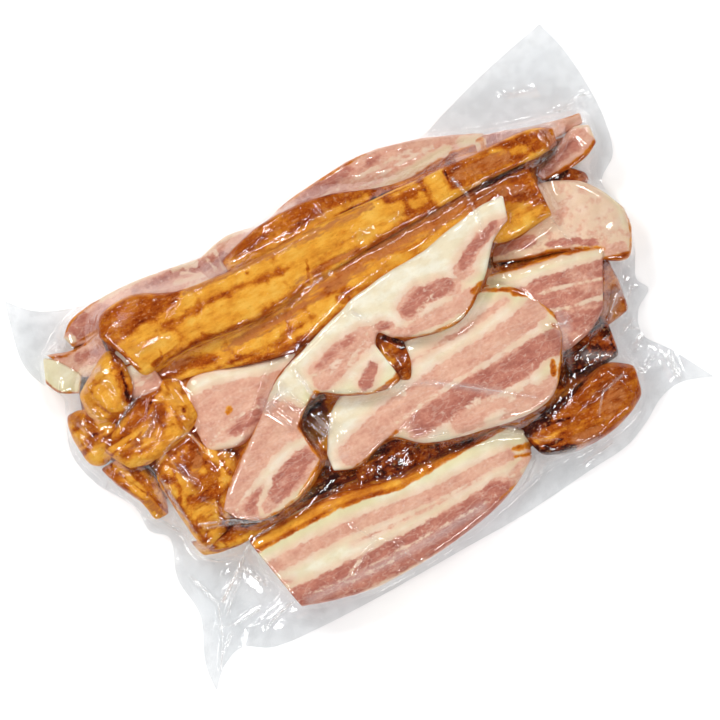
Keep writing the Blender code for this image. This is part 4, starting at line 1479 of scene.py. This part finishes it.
def core_surface():
    """Rings from a hub out to where the filled heap ends on each ray, drawn in by 4 mm. Height
    over share s of the way out is the larger of 15 * (1 - s^5)^(1/3) and the filled heap's
    height, brought down to the rim by (1 - s^12); lumps on top, and the underside is flat."""
    turns = np.linspace(0, 2 * np.pi, CORE_RAYS, endpoint=False)
    rays = np.stack([np.cos(turns), np.sin(turns)], axis=-1)
    hub = edge_rows[:, 2:].mean(axis=0)
    steps = np.arange(0, FURTHEST)[:, None, None]
    under_pieces = read_map(filled, np.clip(hub + rays * steps, map_low, map_high)) > FULL_HEIGHT
    reach = (under_pieces * steps[..., 0]).max(axis=0)
    shifts = range(-RIM_EVENED, RIM_EVENED + 1)
    reach = np.minimum.reduce([np.roll(reach, shift) for shift in shifts])
    foot = hub + rays * (reach - CORE_INSET)[:, None]
    share = np.linspace(0, 1, CORE_RINGS)[1:, None]
    plan = hub + (foot - hub) * share[..., None]
    height = np.maximum(CORE_TOP * (1 - share**5) ** (1 / 3), read_map(core_height, plan))
    height = height * (1 - share**12) + CORE_FLOOR
    over = np.concatenate([plan, height[..., None]], axis=-1)
    over[..., 2] += (lumps(over, CORE_LUMP, CORE_SEED) - 0.5) * CORE_RELIEF * (1 - share**4)
    under = over[::-UNDER_EVERY].copy()
    under[..., 2] = CORE_FLOOR
    return np.concatenate([over, under[1:]])[:, ::-1]


core_rings = core_surface()
enter(heap, core_rings)
points, quads, triangles = closed_skin(core_rings)
values = paint(points[:, :2], CORE_START, CORE_STROKES)
core = new_mesh("meat_core", points + (*DATUM, 0), quads, triangles, values, finishes["smoked_lean"])
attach(core, "root")
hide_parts("pouch")
print("core rings:", core_rings.shape[:2])

# %% [markdown]
# ## The welded margin
# The margin is two films welded flat. It stands a little off the table, its ears more, with
# long soft waves, a few sharper folds, and flat facets where it is crumpled. Inside the foot of
# the heap the two films part: the lower one goes down to the table and the upper one climbs the
# heap.

# %% Margin and lower film
MARGIN_LIFT, EAR_LIFT, MARGIN_THICKNESS = 3.0, 9.0, 0.15  # mm
LEAST_LIFT, MOST_EAR = 1.2, 1.2  # mm, and share of the ear's lift
MARGIN_WAVES = ((34.0, 51, 0.8), (15.0, 52, 0.35))  # size in mm, seed, height in mm
FOLD_SIZE, FOLD_SEED, FOLD_NARROW, FOLD_HEIGHT = 26.0, 53, 3, 0.7
FACETED = (
    (9, 9, (-130, -62), (-112, -78), (-106, -100)), (7, 7, (-104, -106), (-88, -113)),
    (7, 7, (140, -28), (148, -44), (140, -62), (148, -88)), (5, 5, (120, -98), (134, -88)),
    (6, 7, (156, 70), (180, 72)), (5, 5, (-150, -22), (-138, -46)),
    (4, 4, (-160, 20), (-156, 50)), (5, 5, (-152, 80), (-146, 96)),
)
FACET_SIZE, FACET_SEED, FACET_FADE = 14.0, 71, 6.0
FACET_EVERYWHERE, FACET_HEIGHT = 0.45, 1.4
FACET_BEND, BEND_SIZE = 0.6, 2.2  # shares of a facet's size
MARGIN_FIELD, FACET_FIELD = 300, 400  # mm, where in the random field they are read
TABLE_GAP, SINK_WIDTH = 0.2, 12.0  # mm
FOOT_POINTS = 360
flat_points = np.concatenate([map_plan, np.zeros_like(map_plan[..., :1])], axis=-1)
closed_rows = np.concatenate([edge_rows[-2:], edge_rows, edge_rows[:3]])
outline_turns = np.linspace(0, len(edge_rows), FOOT_POINTS, endpoint=False) + 2
foot_line = smooth_rows(closed_rows, outline_turns)[:, 2:]


def inside(plan, line):
    """Whether each place is inside a closed line: a ray along X crosses it an odd number of
    times."""
    crossed = np.zeros(plan.shape[:-1], bool)
    for (x0, y0), (x1, y1) in zip(line, np.roll(line, -1, axis=0)):
        if y0 != y1:
            spans = (plan[..., 1] > y0) != (plan[..., 1] > y1)
            crossing = x0 + (plan[..., 1] - y0) / (y1 - y0) * (x1 - x0)
            crossed ^= spans & (plan[..., 0] < crossing)
    return crossed


def distance_to(plan, line):
    """Distance in mm from each place to a line of points."""
    return -stroke_depth(plan, (0, 0, *line))


def ridges(relief, narrow):
    """Sharp ridges where a relief crosses zero, with flat ground between them:
    (1 - narrow * |relief|)^2, where the bracket is above zero."""
    return (1 - np.abs(relief) * narrow).clip(0) ** 2


def facets(size, seed):
    """Flat triangles with sharp edges: random heights on a lattice of squares, each square cut
    along its diagonal and each half a plane through its corners. Smooth lumps bend the lattice."""
    bends = [
        lumps(flat_points + FACET_FIELD, size * BEND_SIZE, seed + k) * size * FACET_BEND
        for k in (1, 2)
    ]
    cell = (map_plan + np.stack(bends, axis=-1)) / size
    low = np.floor(cell).astype(int)
    t, u = np.moveaxis(cell - low, -1, 0)
    steps = ((0, 0), (1, 0), (0, 1), (1, 1))
    first, beside, above, last = (lattice_values(low + step, seed) for step in steps)
    near = first + t * (beside - first) + u * (above - first)
    far = last + (1 - t) * (above - last) + (1 - u) * (beside - last)
    return np.where(t + u < 1, near, far)


corner = np.prod(((map_plan - edge_middle) / ((edge_high - edge_low) / 2)) ** 2, axis=-1)
waves = sum(
    lumps(flat_points + MARGIN_FIELD, size, seed) * height for size, seed, height in MARGIN_WAVES
)
folds = ridges(lumps(flat_points + MARGIN_FIELD, FOLD_SIZE, FOLD_SEED), FOLD_NARROW) * FOLD_HEIGHT
faceted = np.clip(deepest(map_plan, FACETED) / FACET_FADE, 0, 1)
facet_height = FACET_EVERYWHERE + (FACET_HEIGHT - FACET_EVERYWHERE) * faceted
margin = MARGIN_LIFT + EAR_LIFT * corner.clip(0, MOST_EAR) + waves + folds
margin = np.maximum(margin + facets(FACET_SIZE, FACET_SEED) * facet_height, LEAST_LIFT)
free = inside(map_plan, foot_line)
depth_in = distance_to(map_plan, foot_line[::3]) * np.where(free, 1, -1)
sink = smooth_step(np.clip(depth_in / SINK_WIDTH, 0, 1))
lower_film = (margin - MARGIN_THICKNESS) * (1 - sink) + TABLE_GAP * sink
print("margin heights:", round(float(margin.min()), 1), "to", round(float(margin.max()), 1), "mm")

# %% [markdown]
# ## Drawing the film over the heap
# A vacuum pulls the film down until it touches. On the map this is a skin that is drawn tight
# over the heap like a soap film while the air presses it down. A cloth simulation gives much
# the same at a far higher cost.

# %% Film drawn tight
FILM_GAP, LEAST_GAP = 0.45, 0.2  # mm
AIR_PULL = 0.05  # mm a round
ROUNDS = 1500
LAST_ROUNDS, LAST_SHARE = 4, 0.6
FULL_SLACK = 4.0  # mm off the meat
ON_TOP = 0.3  # mm by which crust may lie below the heap's top
sheet_under = lower_film + MARGIN_THICKNESS
floor_of_film = np.maximum(heap + FILM_GAP, sheet_under)
welded = np.maximum(margin, floor_of_film)
film = floor_of_film
for _ in range(ROUNDS):
    drawn = np.maximum(floor_of_film, average(film) - AIR_PULL)
    film = np.where(free, drawn, welded)
for _ in range(LAST_ROUNDS):
    film = film * (1 - LAST_SHARE) + average(film) * LAST_SHARE
film = np.maximum(film, np.maximum(heap + LEAST_GAP, sheet_under))
slack = np.clip((film - heap - FILM_GAP) / FULL_SLACK, 0, 1) * free
crust_shows = (crust_heap > heap - ON_TOP) & (heap > HIDDEN_BY)
crusty = average(crust_shows.astype(float), 2)
print("film stands off the meat over", round(float((slack > 0.2).mean()) * 100), "% of the map")

# %% [markdown]
# ## Where the film creases
# Where the film bridges a gap or turns round an end it creases. A crease is given by its height and
# its width in mm and the points that it runs through. Glints are short sharp ones on the tops of the
# pieces. A pleat lies flat and only shows as a milky line, partly haze and partly a painted highlight
# of the fold, so it has two half widths instead.

# %% Creases, glints and pleats
CREASES = (
    (1.0, 1.1, (-48, -77), (-44, -84), (-40, -91), (-34, -95), (-28, -98)),
    (0.9, 1.1, (-32, -97), (-29, -106), (-24, -115)),
    (1.2, 1.4, (-120, -36), (-106, -42), (-92, -48), (-85, -52)),
    (0.8, 1.4, (8, 25), (12, 19), (15, 12)), (0.9, 1.6, (-33, 12), (-32, 3), (-32, -5)),
    (0.9, 1.6, (-49, 6), (-43, -8)), (1.0, 1.8, (-54, 3), (-48, -12)),
    (0.8, 1.4, (-43, 3), (-38, -8)), (0.8, 1.4, (-58, 0), (-51, -13)),
    (0.9, 1.6, (-41, -16), (-38, -26)), (0.9, 1.5, (-37, -15), (-35, -27)),
    (0.8, 1.4, (-33, -15), (-32, -25)), (0.9, 1.5, (-40, -29), (-30, -23)),
    (0.9, 1.5, (92, 60), (95, 50), (95, 40), (92, 25)),
    (1.0, 1.1, (50, -71), (56, -77), (62, -83), (68, -88), (75, -91)),
    (0.9, 1.1, (104, -26), (109, -30), (112, -34), (112, -38)),
    (1.2, 1.3, (-127, -76), (-112, -68), (-104, -60), (-96, -57), (-85, -57)),
    (0.6, 1.4, (-20, -9), (0, -20), (25, -28), (45, -42), (60, -53), (75, -65)),
    (0.8, 1.1, (129, 20), (131, 8), (133, 0)),
    (0.9, 1.2, (136, 38), (134, 42), (137, 46), (150, 47), (164, 54)),
    (0.9, 1.1, (-113, -25), (-108, -31), (-104, -37)),
    (0.8, 1.1, (-117, 2), (-114, -10), (-110, -18)),
    (1.1, 1.4, (152, -80), (151, -88), (150, -96)),
    (1.0, 1.4, (130, -70), (133, -82), (143, -77)), (1.0, 1.6, (161, 68), (170, 65), (183, 66)),
    (1.0, 2.0, (-118, -104), (-105, -101), (-96, -99)),
    (1.0, 1.8, (-112, -70), (-108, -80), (-104, -82)),
    (0.8, 1.5, (-140, -60), (-134, -80), (-142, -100), (-150, -112)),
    (0.8, 1.1, (-3, -46), (6, -44), (15, -39)), (0.6, 0.9, (3, -47), (12, -49)),
    (0.6, 0.9, (7, -52), (17, -53)), (0.6, 0.9, (12, -55), (22, -58)),
    (0.8, 1.2, (58, -95), (48, -103), (36, -106)),
    (0.8, 1.2, (-60, -102), (-50, -95), (-44, -93)), (2.9, 5.2, (-109, -71), (-106, -84)),
    (2.9, 5.2, (-114, -104), (-99, -99)), (1.0, 1.2, (-133, -88), (-122, -78), (-112, -70)),
    (0.9, 1.4, (-131, -52), (-122, -60), (-112, -62)),
    (1.2, 2.2, (-140, -92), (-130, -95), (-116, -94)), (0.9, 1.6, (-146, -106), (-135, -98)),
    (2.4, 4.3, (150, -79), (149, -92)), (1.2, 1.6, (137, -55), (147, -62), (136, -69)),
    (1.0, 1.2, (131, -46), (140, -38), (150, -33)),
    (1.0, 1.3, (140, -50), (146, -42), (152, -38)), (0.9, 1.2, (133, -58), (144, -54)),
    (1.2, 2.4, (163, 66), (176, 69), (184, 68)), (1.0, 2.6, (140, 90), (158, 84)),
    (0.8, 2.0, (-150, 70), (-158, 58)), (1.0, 1.6, (-158, 6), (-149, 12)),
    (1.0, 1.6, (-146, -18), (-138, -26), (-134, -34)), (0.9, 1.6, (100, -108), (80, -111)),
    (1.0, 1.4, (-127.5, 3), (-127.5, -15), (-127, -38)),
    (0.8, 0.9, (-124, 4), (-112, 10.5), (-102, 11)), (0.8, 0.9, (-101, 10), (-99, -4)),
    (0.8, 1.0, (-134, 33), (-125, 38), (-117, 41), (-106, 40)),
)
GLINTS = (
    (0.9, 1.7, (30, 57), (37, 60)), (0.8, 1.5, (52, 58), (58, 59.5)),
    (1.0, 1.8, (-36, 81.5), (-14, 84)), (0.9, 1.6, (-8, 79), (14, 80)),
    (0.9, 1.6, (20, 84), (21.5, 78)), (1.1, 2.0, (-143, 53), (-141, 41)),
    (1.0, 1.8, (-122, 21), (-111, 25)), (1.0, 1.8, (-152, 45), (-149, 34)),
    (1.0, 1.8, (-116, 4), (-113, -10)), (1.0, 1.8, (-98, -12), (-89, -10)),
    (0.9, 1.6, (-134, 55), (-128, 58)), (1.1, 2.0, (111, 43), (120, 45)),
    (1.0, 1.8, (118, 30), (128, 32)), (1.1, 2.0, (147, 62), (148.5, 55)),
    (1.1, 2.0, (102, -79), (119, -76)), (0.8, 1.5, (120, -80), (122, -88)),
    (1.4, 2.6, (-59, 2), (-47, 6)), (1.0, 1.8, (162, 50), (163.5, 43)),
    (0.9, 1.6, (-104, 62), (-90, 63)), (0.9, 1.6, (-146, 10), (-143, -2)),
    (0.8, 1.5, (-10, -57), (4, -56)), (0.8, 1.5, (136, -42), (137, -50)),
    (0.8, 1.4, (14, 2), (15, -5)),
)
PLEATS = (
    (0.8, 1.0, (-121, -36), (-106, -42), (-92, -48), (-84, -53)),
    (0.6, 0.9, (-119, -39.5), (-104, -45), (-90, -51)),
    (0.55, 0.8, (30, -30), (45, -42), (60, -53), (75, -65)),
    (1.2, 0.8, (92, 62), (95, 50), (94, 40)), (1.0, 0.8, (-127, -5), (-126, -22), (-125, -40)),
    (1.0, 1.6, (-34, 13), (-33, 4), (-32, -5)),
    (1.2, 0.8, (-131, -80), (-117, -70), (-104, -60), (-96, -57), (-86, -57)),
    (0.8, 1.3, (-41, -17), (-37, -27)), (0.8, 1.1, (-36, -15), (-33, -25)),
    (0.7, 0.7, (-124, 4), (-112, 10.5), (-102, 11), (-99.5, 2)),
    (0.7, 0.7, (-134, 33), (-125, 38), (-117, 41)),
    (0.8, 0.7, (102, -34), (108, -37), (112, -34)), (0.7, 0.9, (9, 26), (12, 20)),
    (0.8, 0.8, (100, -90), (108, -80), (122, -77)),
)
print("creases:", len(CREASES), "glints:", len(GLINTS), "pleats:", len(PLEATS))

# %% [markdown]
# ## Where the film hangs free or crumples
# Webs are the spans over gaps, where the film hangs free and is painted milky: partly its own haze,
# partly painted glare and veil of reflected light. Crumples are places where it is wrinkled small: at
# the ends of the pieces and over the folds of the crust. Both are strokes with two half widths in mm.

# %% Webs and crumples
WEBS = (
    (1.6, 3.6, (-22, -8), (0, -18), (20, -25), (40, -38), (58, -53)),
    (4.5, 2.0, (105, -36), (103, -50), (99, -60)), (3.0, 4.0, (108, -29), (108, -40)),
    (4.0, 3.0, (110, -58), (124, -66)), (3.0, 5.0, (133, -44), (142, -36)),
    (2.4, 2.4, (-38, -19), (-34, -26)),
    # Painted veil over the front of the striped slab.
    (4.2, 4.2, (-88, -102), (-50, -104), (-10, -105), (20, -103)),
    (1.5, 2.5, (-120, -37), (-100, -46), (-84, -53)), (2.5, 3.0, (-43, -41), (-32, -42)),
    (3.0, 4.0, (62, -98), (90, -102)), (3.0, 3.5, (-141, 66), (-128, 65)),
    # The first web below is painted glare on the diagonal slice near its left notch.
    (5.5, 6.0, (-57, 3), (-47, 8)), (2.5, 2.5, (-131, -46), (-122, -50)),
)
CRUMPLES = (
    (2.2, 2.6, (-142, 53), (-141, 41)), (3.5, 3, (-152, 45), (-148, 36)),
    (3, 3, (-120, 20), (-108, 33)), (2, 2, (-129, 19), (-126, 21)),
    (2.2, 2.2, (-117, 6), (-115, -8), (-113, -18)), (3.5, 4.5, (-98, -15), (-88, -10)),
    (4, 4, (-127, -46), (-117, -52)), (3, 3, (-146, 24), (-140, 38)),
    (5, 6, (-38, -18), (-30, -28)), (4, 4, (6, -50), (20, -56)), (4, 4, (-28, -56), (-5, -60)),
    (2.4, 2.6, (31, 58), (40, 61)), (2, 2, (54, 58), (60, 57)), (1.4, 1.4, (-34, 82.5), (-5, 84)),
    (1.2, 1.6, (-12, 79), (16, 79)), (1.8, 1.8, (20, 82), (22, 78)),
    (1.8, 1.8, (52, 77), (54, 75)), (4, 3, (108, 44), (120, 38)), (3, 3, (118, 32), (130, 26)),
    (3, 3, (145, 62), (150, 55)), (5, 5, (100, -38), (104, -58)), (4, 4, (112, -60), (128, -66)),
    (5, 5, (133, -46), (142, -36)), (5, 5, (60, -98), (92, -102)), (3, 4, (15, -64), (30, -66)),
    (4, 4, (64, -78), (80, -75)), (5, 5, (-146, 62), (-130, 63)),
    (4, 4, (-146, -20), (-140, -24)), (3, 3, (-122, -68), (-112, -62)),
    (4, 4, (-56, 3), (-46, 8)), (4, 4, (136, -62), (146, -72)), (4, 4, (-98, -112), (-86, -110)),
    (5, 5, (144, -30), (152, -36)), (2, 2, (-104, 62), (-86, 60)), (3, 3, (-48, -2), (-40, -10)),
)
print("webs:", len(WEBS), "crumpled places:", len(CRUMPLES))

# %% [markdown]
# ## Creases and wrinkles in the map
# A crease raises the film by its height times exp(-(distance / width)^2). The spans between the
# pieces get low ridges, the more the slacker the film is. Crumpled places get sharper ridges
# and flat facets.

# %% Creases pressed into the film
CREASE_HALF = 0.45  # mm
CRINKLE_FIELD, CRINKLE_NARROW = 700, 2.2
SLACK_RIDGES = ((9.0, 61, 0.7), (5.0, 62, 0.25))  # size in mm, seed, height in mm
CRUMPLE_RIDGES = ((8.0, 63, 0.6), (4.5, 64, 0.3))
CRUMPLE_FACETS = (7.0, 74)
CRUMPLE_FACET_HEIGHT = 0.7
LEAST_SLACK = 0.1
CRUMPLE_FADE, CRUMPLE_START = 3.0, 0.4


def fold_depth(plan):
    """How far each place lies inside the nearest crease or pleat, in mm."""
    lines = [(CREASE_HALF, CREASE_HALF, *line) for _, _, *line in CREASES]
    lines += [(0, 0, *line) for _, _, *line in GLINTS]
    return deepest(plan, (*lines, *PLEATS))


def wrinkles(rows):
    """Several sizes of ridges added up, each with its size in mm, its seed and its height."""
    return sum(
        ridges(lumps(flat_points + CRINKLE_FIELD, size, seed), CRINKLE_NARROW) * height
        for size, seed, height in rows
    )


creases = np.zeros(map_shape)
for height, width, *line in (*CREASES, *GLINTS):
    creases = np.maximum(creases, height * np.exp(-((distance_to(map_plan, line) / width) ** 2)))
crumpled = np.clip(deepest(map_plan, CRUMPLES) / CRUMPLE_FADE + CRUMPLE_START, 0, 1)
crumples = wrinkles(CRUMPLE_RIDGES) + facets(*CRUMPLE_FACETS) * CRUMPLE_FACET_HEIGHT
film = film + creases + wrinkles(SLACK_RIDGES) * (LEAST_SLACK + slack) + crumples * crumpled
slack = np.maximum(slack, crumpled)
print("highest crease:", round(float(creases.max()), 1), "mm")

# %% [markdown]
# ## Clear film
# Thin film bends no light, so it needs no glass shader: a transparent shader and a glossy one are
# mixed, and the mix says how much of a mirror the film is. The depths kept on the mesh tell where it
# clings, hangs free and creases, and where a milky white is mixed in: partly the film's own haze,
# partly painted highlights and glare.

# %% Film material
FILM_ROUGHNESS = (0.05, 0.12)
CLUNG_MIRROR, WET_LOSS, SLACK_MIRROR, EDGE_MIRROR = 0.06, -0.02, 0.07, 0.85  # shares of the light
DRY_LEAST = 0.3
CREASE_LIFTS = 0.05
CRUST_GRAIN = 0.07
RIDGE_HEIGHT = 0.45
FILM_BUMP = 2.2  # mm
# Shares of a milky white: partly the film's own haze, partly painted highlights along creases and
# pleats and painted glare over webs.
CREASE_HAZE_AND_HIGHLIGHT, PLEAT_HAZE_AND_HIGHLIGHT, WEB_HAZE_AND_GLARE = 0.28, 0.16, 0.26
MILKY_HAZE_AND_GLARE = colour(238, 226, 220)
MIRROR_WHITE = (1, 1, 1, 1)


def film_material(name, tint):
    """Clear film: what is behind it, slightly grey, and a mirror. Face on the mirror's share is up to
    6% where the film clings, less where grease wets it, and 7% more where it hangs free with air
    behind it. It grows to nearly all of the light edge on, as (1 - cosine)^5. Wrinkles are bump where
    the film hangs free, and over crust the film takes up its grain. Creases, pleats and webs get a
    milky white: partly the film's own haze, partly painted highlights and glare."""
    material, tree, shader, place = new_material(name)
    slack, crusty, fold, web = (read_depth(tree, key) for key in ("slack", "crusty", "fold", "web"))
    broken = ramp(tree, noise(tree, place, 6.0, 2.0), 0.35, 0.6, 0.25, 1.0)

    dry = ramp(tree, noise(tree, place, 7.0, 3.0), 0.4, 0.6, DRY_LEAST, 1.0)
    clung = times(tree, dry, scaled(tree, crusty, WET_LOSS, CLUNG_MIRROR))
    creased = ramp(tree, fold, -2.2, -0.3, 0.0, CREASE_LIFTS)
    face_on = plus(tree, scaled(tree, slack, SLACK_MIRROR, clung), creased)
    facing = add_node(tree, "LayerWeight", {}, {"Blend": 0.5}).outputs["Facing"]
    mirror = scaled(tree, maths(tree, "POWER", facing, 5.0), EDGE_MIRROR, face_on)

    crinkle = maths(tree, "ABSOLUTE", around_zero(tree, noise(tree, place, 9.0, 3.0), 1.0))
    crinkle = times(tree, crinkle, scaled(tree, slack, 0.5, 0.1))
    grain = noise(tree, place, 1.7, 3.0, stretch=(1.6, 1.0, 1.0))
    grain = times(tree, grain, times(tree, crusty, CRUST_GRAIN))
    ridge = times(tree, ramp(tree, fold, -0.5, 0.2), times(tree, broken, RIDGE_HEIGHT))
    height = plus(tree, crinkle, grain, ridge)
    relief = {"Strength": 1.0, "Distance": FILM_BUMP * MM, "Height": height}
    bump = add_node(tree, "Bump", {}, relief)

    # Milky white mixed in along creases, pleats and webs: partly haze, partly painted highlights and
    # glare.
    haze_and_glare = plus(
        tree, times(tree, ramp(tree, fold, -0.1, 0.4, 0.0, CREASE_HAZE_AND_HIGHLIGHT), broken),
        ramp(tree, fold, 0.5, 1.0, 0.0, PLEAT_HAZE_AND_HIGHLIGHT), ramp(tree, web, -0.6, 4.5, 0.0, WEB_HAZE_AND_GLARE),
    )
    clear = add_node(tree, "BsdfTransparent", {}, {"Color": tint}).outputs[0]
    milky = add_node(tree, "BsdfDiffuse", {}, {"Color": MILKY_HAZE_AND_GLARE}).outputs[0]
    behind = add_node(tree, "MixShader", {}, {0: haze_and_glare, 1: clear, 2: milky}).outputs[0]
    dull = ramp(tree, noise(tree, place, 14.0, 3.0), 0.35, 0.65, *FILM_ROUGHNESS)
    finish = {"Color": MIRROR_WHITE, "Roughness": dull, "Normal": bump.outputs[0]}
    gloss = add_node(tree, "BsdfAnisotropic", {}, finish).outputs[0]
    mixed = add_node(tree, "MixShader", {}, {0: mirror, 1: behind, 2: gloss}).outputs[0]
    tree.nodes.remove(shader)
    output = next(node for node in tree.nodes if node.type == "OUTPUT_MATERIAL")
    tree.links.new(mixed, output.inputs["Surface"])
    return material


print("milky share of a web:", WEB_HAZE_AND_GLARE)

# %% [markdown]
# ## The film's two sheets
# Each sheet is a grid stretched between the four sides of the outline, like a cloth held by its
# four edges (a Coons patch): the two ways of blending opposite sides are added and the blend of
# the four corners is taken off. Heights come from the maps.

# %% Sheets
TOP_TINT = (0.968, 0.971, 0.972, 1.0)
BOTTOM_TINT = (0.87, 0.884, 0.895, 1.0)
MARGIN_SLACK = 0.5  # the margin mirrors like half slack film
SIDE_POINTS = 1000


def outline_side(first, last):
    """The smoothed rows of the outline from one ear to the next, as a function of 0 to 1."""
    rows = np.array([edge_rows[k % len(edge_rows), :2] for k in range(first, last + 1)])
    fine = smooth_rows(rows, np.linspace(0, len(rows) - 1, SIDE_POINTS))
    run = np.concatenate([[0], np.cumsum(np.linalg.norm(np.diff(fine, axis=0), axis=1))])
    run /= run[-1]
    return lambda share: np.stack([np.interp(share, run, fine[:, k]) for k in (0, 1)], axis=-1)


def coons_patch(rows, columns):
    """(1 - v) bottom(u) + v top(u) + (1 - u) left(v) + u right(v) - the blend of the corners."""
    back_left, back_right, front_right, front_left = EARS
    top = outline_side(back_left, back_right)
    right = outline_side(back_right, front_right)
    bottom = outline_side(front_right, front_left)
    left = outline_side(front_left, len(edge_rows) + back_left)
    u, v = np.linspace(0, 1, columns), np.linspace(0, 1, rows)
    over, up = u[None, :, None], v[:, None, None]
    across = bottom(1 - u)[None] * (1 - up) + top(u)[None] * up
    along = left(v)[:, None] * (1 - over) + right(1 - v)[:, None] * over
    ends = across[:, [0]] * (1 - over) + across[:, [-1]] * over
    return across + along - ends


loose = np.maximum(slack, MARGIN_SLACK * ~free)
no_triangles = np.zeros((0, 3), int)
for name, field, rows, columns, tint in (
    ("film_top", film, 260, 370, TOP_TINT),
    ("film_bottom", lower_film, 106, 152, BOTTOM_TINT),
):
    plan = coons_patch(rows, columns)
    points = np.concatenate([plan, read_map(field, plan)[..., None]], axis=-1).reshape(-1, 3)
    faces = grid_faces(rows, columns)
    if name == "film_bottom":
        faces = faces[:, ::-1]
    values = {
        "slack": read_map(loose, plan),
        "crusty": read_map(crusty, plan),
        "fold": fold_depth(plan),
        "web": deepest(plan, WEBS),
    }
    finish = film_material(name, tint)
    sheet = new_mesh(name, points + (*DATUM, 0), faces, no_triangles, values, finish)
    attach(sheet, "root")
    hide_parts("pouch")
    print(name, "faces:", len(faces))

# %% [markdown]
# ## The table
# The pack lies on a plain white table that glows a little, so that it stays white in the
# picture.

# %% Table
TABLE_SIZE, TABLE_DROP = 4.0, 0.0005  # m
TABLE_GLOW, TABLE_ROUGHNESS = 0.25, 0.7
TABLE_WHITES = ((0.92, 0.92, 0.92, 1), (0.94, 0.94, 0.94, 1))
bpy.ops.mesh.primitive_plane_add(size=TABLE_SIZE, location=(0, 0, -TABLE_DROP))
table = bpy.context.object
table.name = "table"
white, tree, shader, place = new_material("table_white")
tone = blend(tree, ramp(tree, noise(tree, place, 40.0, 2.0), 0.3, 0.7), *TABLE_WHITES)
tree.links.new(tone, shader.inputs["Base Color"])
tree.links.new(tone, shader.inputs["Emission Color"])
shader.inputs["Emission Strength"].default_value = TABLE_GLOW
shader.inputs["Roughness"].default_value = TABLE_ROUGHNESS
table.data.materials.append(white)
print("table:", TABLE_SIZE, "m across")

# %% [markdown]
# ## Softboxes
# Film only shines where it mirrors a light, so the room above is dim, and softboxes stand round
# the table. Each is given by its azimuth and elevation in degrees, its distance and its two
# sides in metres, and how bright its face is.

# %% Lights
HEAP_MIDDLE = np.array([*DATUM, 25.0]) * MM
ROOM = (0.07, 0.07, 0.07, 1)
SOFTBOXES = (
    ("window_back", 105, 42, 1.5, 0.6, 0.2, 25.0),
    ("window_front", 285, 38, 1.5, 0.6, 0.2, 20.0),
    ("box_right", 15, 38, 1.5, 0.5, 0.2, 21.5),
    ("box_left", 195, 40, 1.5, 0.5, 0.2, 21.5),
    ("high_box", 130, 66, 1.5, 0.3, 0.2, 6.5),
    ("spark_back", 60, 58, 1.3, 0.1, 0.1, 60.0),
    ("spark_left", 160, 62, 1.3, 0.08, 0.08, 60.0),
)
for name, azimuth, elevation, away, wide, tall, radiance in SOFTBOXES:
    turn, rise = np.radians((azimuth, elevation))
    way = np.array([np.cos(turn) * np.cos(rise), np.sin(turn) * np.cos(rise), np.sin(rise)])
    light = bpy.data.lights.new(name, "AREA")
    light.shape = "RECTANGLE"
    light.size, light.size_y = wide, tall
    light.energy = radiance * np.pi * wide * tall
    lamp = bpy.data.objects.new(name, light)
    lamp.location = HEAP_MIDDLE + way * away
    lamp.rotation_euler = (np.pi / 2 - rise, 0, turn + np.pi / 2)
    bpy.context.scene.collection.objects.link(lamp)

world = bpy.data.worlds.new("dim_room")
world.use_nodes = True
world.node_tree.nodes["Background"].inputs["Color"].default_value = ROOM
bpy.context.scene.world = world
print("softboxes:", len(SOFTBOXES))

# %% [markdown]
# ## Camera
# The camera looks straight down from far away through a long lens, turned so that the pack lies
# aslant in the picture.

# %% Camera
CAMERA_AWAY, VIEW_ACROSS = 3.0, 0.396  # m
SENSOR = 36.0  # mm
TURN = np.radians(29.0)
lens = bpy.data.cameras.new("camera")
lens.sensor_width = SENSOR
lens.lens = SENSOR * CAMERA_AWAY / VIEW_ACROSS
camera = bpy.data.objects.new("camera", lens)
camera.location = HEAP_MIDDLE + (0, 0, CAMERA_AWAY)
camera.rotation_euler = (0, 0, -TURN)
bpy.context.scene.collection.objects.link(camera)
bpy.context.scene.camera = camera
bpy.context.scene.view_settings.view_transform = "Standard"
print("lens:", round(lens.lens), "mm")
